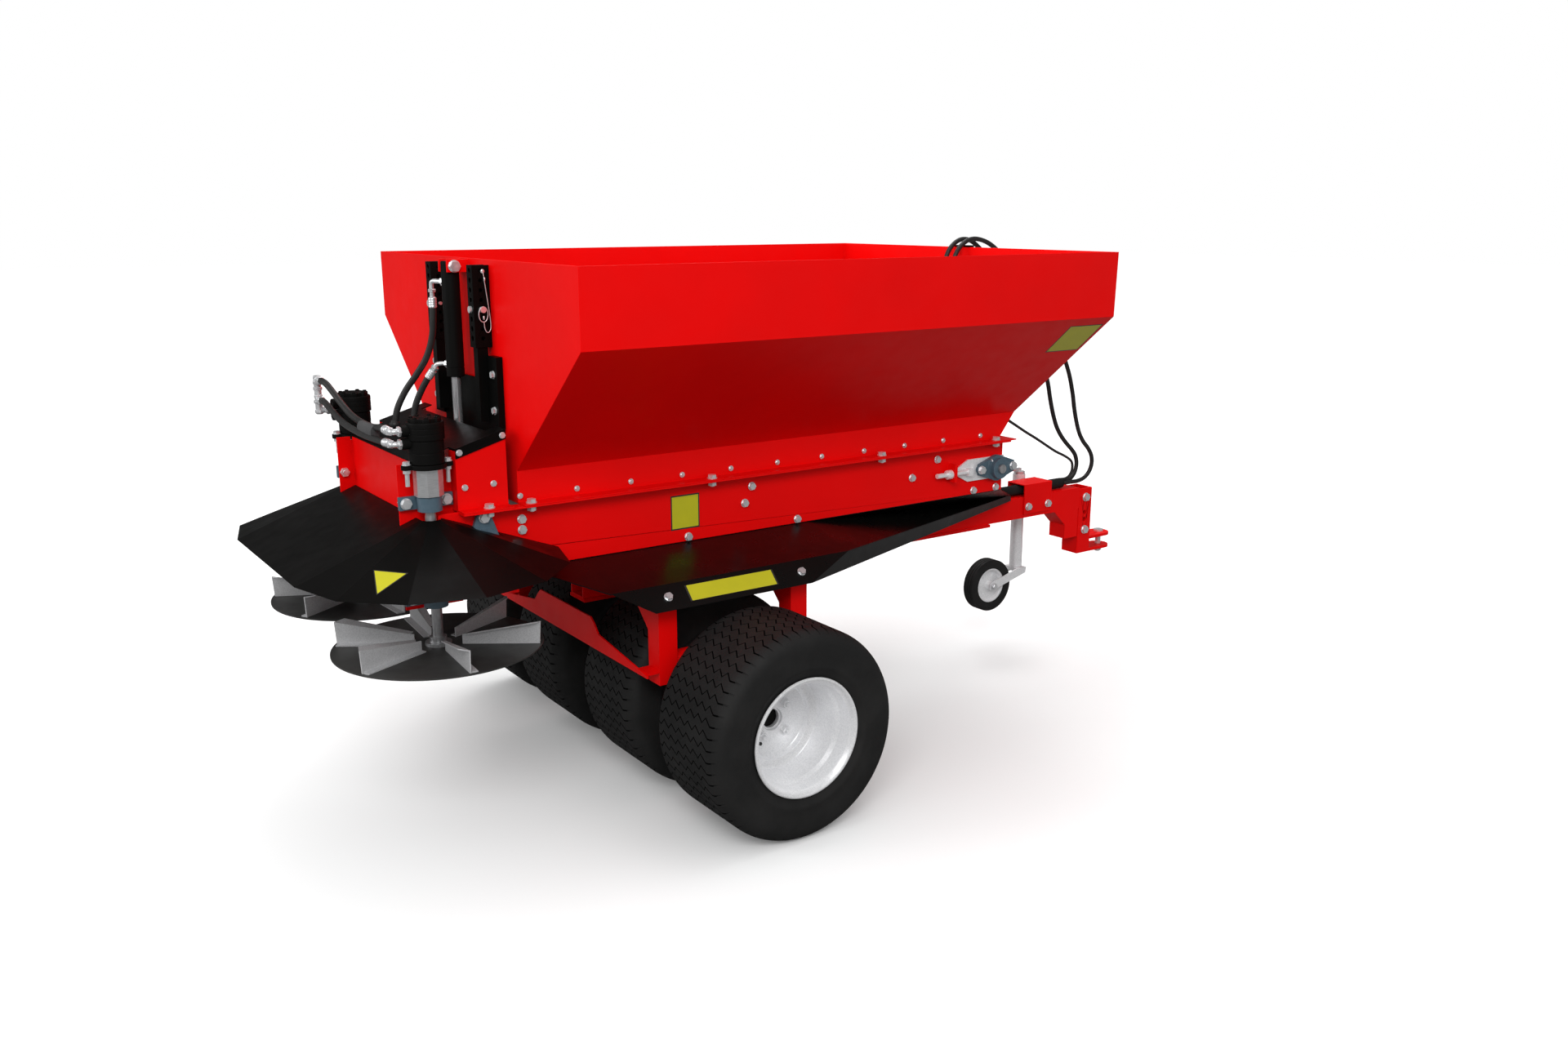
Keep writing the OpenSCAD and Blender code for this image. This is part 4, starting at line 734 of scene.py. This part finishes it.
def spinner_motor(name, shaft, nodes=()):
    """Hydraulic motor on top of its spacer, above the shaft that it turns."""
    base = centre(shaft)
    base.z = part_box("motor_spacers")[1].z
    shape = Shape()
    shape.lathe([(0.0470, 0.0), (0.0480, 0.001), (0.0480, 0.011), (0.0470, 0.0120)],
                base, segments=64)
    for side in BOTH_SIDES:
        ear = base + Vector((side * 0.053, 0, 0))
        shape.lathe([(0.0130, 0), (0.0140, 0.001), (0.0140, 0.011), (0.0130, 0.0118)],
                    ear, segments=32)
        shape.box(base + Vector((min(side * 0.036, side * 0.055), -0.0138, 0.0002)),
                  base + Vector((max(side * 0.036, side * 0.055), 0.0138, 0.0116)))
    shape.lathe([(0.0400, 0.0115), (0.0432, 0.0130), (0.0440, 0.0150), (0.0440, 0.0400),
                 (0.0434, 0.0406), (0.0434, 0.0424), (0.0440, 0.0430), (0.0440, 0.0690),
                 (0.0430, 0.0700), (0.0430, 0.0735), (0.0463, 0.0740), (0.0470, 0.0750),
                 (0.0470, 0.0880), (0.0464, 0.0886), (0.0464, 0.0900), (0.0470, 0.0906),
                 (0.0470, 0.1020), (0.0464, 0.1026), (0.0464, 0.1040), (0.0470, 0.1046),
                 (0.0470, 0.1150), (0.0455, 0.1180), (0.0300, 0.1185)], base, segments=80)
    for height in (0.066, 0.098):
        shape.lathe([(0.0150, 0.030), (0.0150, 0.0595), (0.0138, 0.0620), (0.0080, 0.0620)],
                    base + Vector((0, 0, height)), -X_AXIS, 32)
    motor_cap(shape, base)
    shape.piece(name, "chassis", "motor_paint", "black_paint", nodes, bevel=0.0004, sharp=36)


def near_port_fittings():
    """Elbows that lead the two hoses into the right motor's ports."""
    shape = Shape()
    y = centre("spinner_shaft_right").y * 1000
    for z in (1094, 1126):
        shape.hexagon(0.0132, 0.0085, spot(-852, y, z), -X_AXIS, 0.4)
        elbow = [(-858, 0), (-866, 0), (-872, 3), (-874, 9), (-874, 20), (-874, 30)]
        shape.tube(smooth_path([spot(x, y + dy, z) for x, dy in elbow], 5), 0.0075, 20)
        shape.hexagon(0.0112, 0.008, spot(-874, y + 12, z), Y_AXIS, 0.2)
    shape.piece("near_port_fittings", "chassis", "zinc_steel", "zinc_steel", bevel=0.0003)


def far_port_fittings():
    """Adaptors stacked beside the left motor, and the pipe to its port."""
    shape = Shape()
    x, y = -870, 346
    shape.lathe([(0.0088, 0), (0.0098, 0.001), (0.0098, 0.108), (0.0088, 0.1095)],
                spot(x, y, 1092), segments=28)
    for z, radius in ((1094, 0.0125), (1122, 0.0138), (1138, 0.0122),
                      (1160, 0.0125), (1178, 0.0138), (1192, 0.0118)):
        shape.hexagon(radius, 0.0095, spot(x, y, z), Z_AXIS, z * 0.37)
    for z in (1132, 1188):
        shape.lathe([(0.0086, 0), (0.0086, 0.014), (0.0078, 0.016)], spot(x, y, z), -Y_AXIS, 24)
        shape.hexagon(0.0122, 0.0065, spot(x, y - 7, z), -Y_AXIS, 0.3)
    motor = centre("spinner_shaft_left")
    start = Vector((motor.x, motor.y, 1.104))
    toward = (spot(x, y, 1104) - start).normalized()
    shape.tube([start + reach * toward for reach in (0.040, 0.052, 0.088)], 0.0085, 20)
    shape.hexagon(0.0140, 0.010, start + 0.050 * toward, toward, 0.1)
    shape.hexagon(0.0125, 0.009, start + 0.070 * toward, toward, 0.5)
    shape.piece("far_port_fittings", "chassis", "zinc_steel", "zinc_steel", bevel=0.0003)


def gate_cylinder():
    """Barrel with gland and end cap, bored so that the rod slides up inside."""
    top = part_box("cylinder_barrel")[1].z
    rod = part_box("cylinder_rod")
    x = (rod[0].x + rod[1].x) / 2
    shape = Shape()
    profile = [(0.0130, 0.0002), (0.0222, 0.0002), (0.0240, 0.0020), (0.0240, 0.0230),
               (0.0231, 0.0240), (0.0231, 0.0262), (0.0240, 0.0272), (0.0240, 0.2960),
               (0.0231, 0.2970), (0.0231, 0.2990), (0.0240, 0.3000), (0.0240, 0.3080),
               (0.0222, 0.3098), (0.0010, 0.3098), (0.0010, 0.2900), (0.0193, 0.2880),
               (0.0193, 0.0270), (0.0130, 0.0258)]
    shape.lathe(profile, (x, 0, spot(0, 0, 1215).z), Z_AXIS, 64, looped=True)
    shape.piece("gate_cylinder_barrel", "chassis", "motor_paint", "black_paint",
                ["cylinder_barrel"], sharp=34)
    fit = Shape()
    lean = Vector((-0.4226, 0.9063, 0))  # direction of both ports, 25 degrees off +Y
    upper, lower = Vector((x, 0, 1.470)), Vector((x, 0, 1.248))
    for port in (upper, lower):
        fit.hexagon(0.0115, 0.010, port + 0.0235 * lean, lean, 0.2)
    end = Vector(RAM_HOSE_A[0])
    far = Vector((end.x, end.y, upper.z))
    reach = (far - upper).length
    fit.tube(smooth_path([upper + 0.030 * lean, upper + (reach - 0.022) * lean,
                          upper + (reach - 0.008) * lean, far + Vector((0, 0, -0.006)),
                          far + Vector((0, 0, -0.030)), end + Vector((0, 0, 0.004))], 5),
             0.0062, 20)
    fit.hexagon(0.0108, 0.009, far + Vector((0, 0, -0.030)), Z_AXIS, 0.3)
    end = Vector(RAM_HOSE_B[0])
    slope = (end - Vector(RAM_HOSE_B[1])).normalized()
    fit.tube(smooth_path([lower + 0.030 * lean, lower + 0.042 * lean,
                          end + 0.022 * slope, end + 0.004 * slope], 5), 0.0062, 20)
    fit.hexagon(0.0108, 0.009, end + 0.006 * slope, slope, 0.3)
    cap = Vector((x, 0, top - 0.0004))
    fit.lathe([(0.0085, 0.0), (0.0085, 0.0002), (0.0060, 0.0004)], cap, segments=24)
    fit.piece("gate_cylinder_fittings", "chassis", "zinc_steel", "zinc_steel", bevel=0.0003)


rear_hoses()
spinner_motor("spinner_motor_right", "spinner_shaft_right", ["spinner_motors"])
spinner_motor("spinner_motor_left", "spinner_shaft_left")
near_port_fittings()
far_port_fittings()
gate_cylinder()


# ---- Lanyards of the gate's stop pins ----
def lanyard(name, side):
    """Wire from an eyelet at the top of the rail down to the ring of the stop pin."""
    shape = Shape()
    x, y = -576, 168 * side
    pin = centre("gate_pins").z * 1000
    shape.lathe([(0.0052, 0), (0.0056, 0.0008), (0.0040, 0.0026)],
                spot(x + 7, y, 1503), Y_AXIS * side, 20)
    loop = [(7, 3, 1502), (8, 5, 1488), (13, 6.5, 1440), (18, 7, 1395), (20, 7.5, 1363),
            (16, 8, 1349), (9, 8, 1346), (3, 8, 1356), (1, 8, pin - 30)]
    shape.tube(smooth_path([spot(x + dx, y + side * dy, z) for dx, dy, z in loop]), 0.0012, 8)
    ring = []
    for k in range(41):
        a = 2 * math.pi * k / 40
        ring.append(spot(x + 12.5 * math.sin(a), y + side * (9.5 + 1.0 * math.cos(a)),
                         pin - 12 + 20 * math.cos(a)))
    shape.tube(ring, 0.0013, 8)
    for dx, z in ((9, 1478), (2, pin - 26)):
        shape.lathe([(0.0012, 0), (0.0024, 0.001), (0.0024, 0.009), (0.0012, 0.010)],
                    spot(x + dx, y + side * 6, z), Z_AXIS, 12)
    shape.piece(name, "chassis", "zinc_steel", "zinc_steel", sharp=60)


lanyard("stop_pin_lanyard_right", -1)
lanyard("stop_pin_lanyard_left", 1)


# ---- Plain safety films, without words or pictures ----
def surface_hit(node, start, toward):
    """Where a ray from start meets the node, and the surface's normal there."""
    part = frame["nodes"][node]
    back = part.matrix_world.inverted()
    hit, where, normal, _ = part.ray_cast(back @ start, (back.to_3x3() @ toward).normalized())
    if not hit:
        raise RuntimeError("no surface of " + node + " under a label")
    return part.matrix_world @ where, (part.matrix_world.to_3x3() @ normal).normalized()


INK_GAP, INK_THICKNESS = 0.00005, 0.00022
FILM_GAP, FILM_THICKNESS = 0.0001, 0.00036
EDGE_AT_CORNER = 0.00568  # width of the dark edge measured along a corner's diagonal


def label(name, node, corners, toward):
    """Yellow film with a thin dark edge, laid on a flat face; corners are seen along toward."""
    hits = [surface_hit(node, corner, toward) for corner in corners]
    places, normal = [where for where, _ in hits], hits[0][1]
    lift = normal if normal.dot(toward) < 0 else -normal
    middle = sum(places, Vector()) / len(places)
    ink, film = Shape(), Shape()
    ink.plate([where + INK_GAP * lift for where in places], INK_THICKNESS * lift)
    inner = []
    for where in places:
        away = where - middle
        inner.append(middle + away * (1 - EDGE_AT_CORNER / away.length) + FILM_GAP * lift)
    film.plate(inner, FILM_THICKNESS * lift)
    ink.piece(name + "_edge", "chassis", "dark_ink")
    film.piece(name + "_film", "chassis", "yellow_film")


def corners_at(y, x_low, x_high, z_low, z_high):
    """Corners of an upright rectangle at width y, in the millimetres of spot()."""
    return [spot(x_low, y, z_low), spot(x_high, y, z_low),
            spot(x_high, y, z_high), spot(x_low, y, z_high)]


label("side_label", "chassis_sides", corners_at(-400, -92, 3, 766, 867), Y_AXIS)
GUARD_VIEW = Vector((0, 1, -1)).normalized()
GUARD_CORNERS = ((-180, -541, 635), (108, -541, 635), (108, -506, 670), (-180, -506, 670))
label("guard_label", "belt_guards",
      [spot(*corner) - 0.1 * GUARD_VIEW for corner in GUARD_CORNERS], GUARD_VIEW)
label("hopper_label", "hopper", corners_at(-900, 1112, 1256, 1225, 1313), Y_AXIS)
label("hood_label", "spinner_hood",
      [spot(-981, -405, 1200), spot(-1007.5, -502, 1200), spot(-919.5, -473.6, 1200)], -Z_AXIS)


# ---- Bearing details ----
def bearing_details():
    """Inner rings and grease nipples at both ends of the two belt rollers."""
    rings, nipples = Shape(), Shape()
    for roller, face in (("drive_roller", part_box("belt_bearings")[1].y),
                         ("tension_roller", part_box("belt_tensioners")[1].y)):
        middle = centre(roller)
        for side in BOTH_SIDES:
            at = Vector((middle.x, side * (face - 0.001), middle.z))
            rings.lathe([(0.0185, -0.004), (0.0262, -0.004), (0.0262, 0.0012), (0.0252, 0.0022),
                         (0.0188, 0.0022), (0.0185, 0.0016)], at, Y_AXIS * side, 48, looped=True)
            nose = at + Vector((-0.0270, -side * 0.008, 0.0270))
            nipples.lathe([(0.0040, -0.004), (0.0040, 0.002), (0.0026, 0.003), (0.0026, 0.005),
                           (0.0034, 0.0065), (0.0022, 0.0085)],
                          nose, Vector((-0.7, side * 0.25, 0.7)), 14)
    rings.piece("belt_bearing_rings", "chassis", "plain_steel", "plain_steel", sharp=32)
    nipples.piece("grease_nipples", "chassis", "zinc_steel", "zinc_steel")


bearing_details()


# ---- Woven sleeve round the drawbar hoses ----
def hose_sleeve():
    """Woven tube with the relief of its weave, slack folds and a hem at each end."""
    low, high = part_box("hose_sleeve")
    y, z = (low.y + high.y) / 2, (low.z + high.z) / 2
    radius = (high.z - low.z) / 2
    count, around = 150, 40  # rings along the sleeve, points round it
    shape = Shape()
    rings = []
    for i in range(count + 1):
        x = low.x + (high.x - low.x) * i / count
        slack = 0.0016 * (0.5 + 0.5 * math.sin(0.21 * i) * math.sin(0.057 * i + 1.0))
        hem = 0.0012 if i in (0, count) else 0.0
        ring = []
        for k, a in enumerate(circle(around)):
            weave = 0.00035 * (1 if (i + k) % 2 else -1)
            fold = slack * (0.5 + 0.5 * math.cos(3 * a + 0.05 * i))
            r = radius - 0.0004 - hem - fold + weave
            ring.append(Vector((x, y + r * math.cos(a), z + r * math.sin(a))))
        rings.append(ring)
    shape.skin(rings)
    shape.piece("woven_hose_sleeve", "chassis", "woven_sleeve", "hose_rubber",
                ["hose_sleeve"], sharp=80)


hose_sleeve()


# ---- Floor, light and surroundings ----
FLOOR_REACH = 40.0
FLOOR_BOUNCE = 0.22  # grey that the floor throws back at the machine
FLOOR_SEEN = 0.86  # grey that the camera sees
GLOW_NEAR, GLOW_FAR = (1.4, 0.05), (4.2, 0.3)  # distance from the origin, glow there
WORLD_LIGHT, WORLD_MIRRORED, WORLD_SEEN = 0.92, 0.13, 1.0


def make_floor():
    """Pale floor that turns plain white a few metres from the machine."""
    mesh = bpy.data.meshes.new("floor")
    near, far = -FLOOR_REACH, FLOOR_REACH
    mesh.from_pydata([(near, near, 0), (far, near, 0), (far, far, 0), (near, far, 0)], [],
                     [(0, 1, 2, 3)])
    floor = bpy.data.objects.new("floor", mesh)
    bpy.context.scene.collection.objects.link(floor)
    material = bpy.data.materials.new("studio_floor")
    material.use_nodes = True
    tree = material.node_tree
    tree.nodes.clear()
    output = tree.nodes.new("ShaderNodeOutputMaterial")
    rays = tree.nodes.new("ShaderNodeLightPath")
    shade = tree.nodes.new("ShaderNodeMix")
    shade.data_type = "RGBA"
    shade.inputs[6].default_value = (FLOOR_BOUNCE, FLOOR_BOUNCE, FLOOR_BOUNCE, 1)
    shade.inputs[7].default_value = (FLOOR_SEEN, FLOOR_SEEN, FLOOR_SEEN, 1)
    matt = tree.nodes.new("ShaderNodeBsdfDiffuse")
    glow = tree.nodes.new("ShaderNodeEmission")
    total = tree.nodes.new("ShaderNodeAddShader")
    lift = tree.nodes.new("ShaderNodeMath")
    lift.operation = "MULTIPLY"
    place = tree.nodes.new("ShaderNodeTexCoord")
    distance = tree.nodes.new("ShaderNodeVectorMath")
    distance.operation = "LENGTH"
    fade = tree.nodes.new("ShaderNodeMapRange")
    fade.interpolation_type = "SMOOTHSTEP"
    set_range(fade, GLOW_NEAR[0], GLOW_FAR[0], GLOW_NEAR[1], GLOW_FAR[1])
    tree.links.new(place.outputs["Object"], distance.inputs[0])
    tree.links.new(distance.outputs["Value"], fade.inputs["Value"])
    tree.links.new(fade.outputs["Result"], lift.inputs[1])
    tree.links.new(rays.outputs["Is Camera Ray"], shade.inputs[0])
    tree.links.new(shade.outputs[2], matt.inputs["Color"])
    tree.links.new(rays.outputs["Is Camera Ray"], lift.inputs[0])
    tree.links.new(lift.outputs[0], glow.inputs["Strength"])
    tree.links.new(matt.outputs[0], total.inputs[0])
    tree.links.new(glow.outputs[0], total.inputs[1])
    tree.links.new(total.outputs[0], output.inputs["Surface"])
    mesh.materials.append(material)


def make_world():
    """White surroundings that look darker in mirrored light, so that gloss stays soft."""
    world = bpy.data.worlds.new("studio")
    bpy.context.scene.world = world
    world.use_nodes = True
    tree = world.node_tree
    background = tree.nodes["Background"]
    rays = tree.nodes.new("ShaderNodeLightPath")
    glossy = tree.nodes.new("ShaderNodeMix")
    glossy.inputs[2].default_value = WORLD_LIGHT
    glossy.inputs[3].default_value = WORLD_MIRRORED
    seen = tree.nodes.new("ShaderNodeMix")
    seen.inputs[3].default_value = WORLD_SEEN
    tree.links.new(rays.outputs["Is Glossy Ray"], glossy.inputs[0])
    tree.links.new(rays.outputs["Is Camera Ray"], seen.inputs[0])
    tree.links.new(glossy.outputs[0], seen.inputs[2])
    background.inputs["Color"].default_value = (1, 1, 1, 1)
    tree.links.new(seen.outputs[0], background.inputs["Strength"])


def area_light(name, location, target, size, power):
    """Rectangular lamp at location that points at target; power is in watts."""
    data = bpy.data.lights.new(name, "AREA")
    data.shape = "RECTANGLE"
    data.size, data.size_y = size
    data.energy = power
    light = bpy.data.objects.new(name, data)
    bpy.context.scene.collection.objects.link(light)
    light.location = location
    aim = Vector(target) - Vector(location)
    light.rotation_euler = aim.to_track_quat("-Z", "Y").to_euler()


make_floor()
make_world()
area_light("key", (-3.5, -4.5, 4.2), (0, 0, 0.9), (3.0, 2.0), 165)
area_light("rear_fill", (-5.0, 1.5, 2.8), (-0.5, 0, 1.0), (2.5, 2.5), 70)
area_light("top", (0.5, 0.5, 5.5), (0, 0, 0), (4.0, 3.0), 85)
area_light("back", (2.2, 3.6, 4.6), (0, 0, 0.5), (2.5, 2.5), 60)
bpy.context.scene.view_settings.view_transform = "Standard"
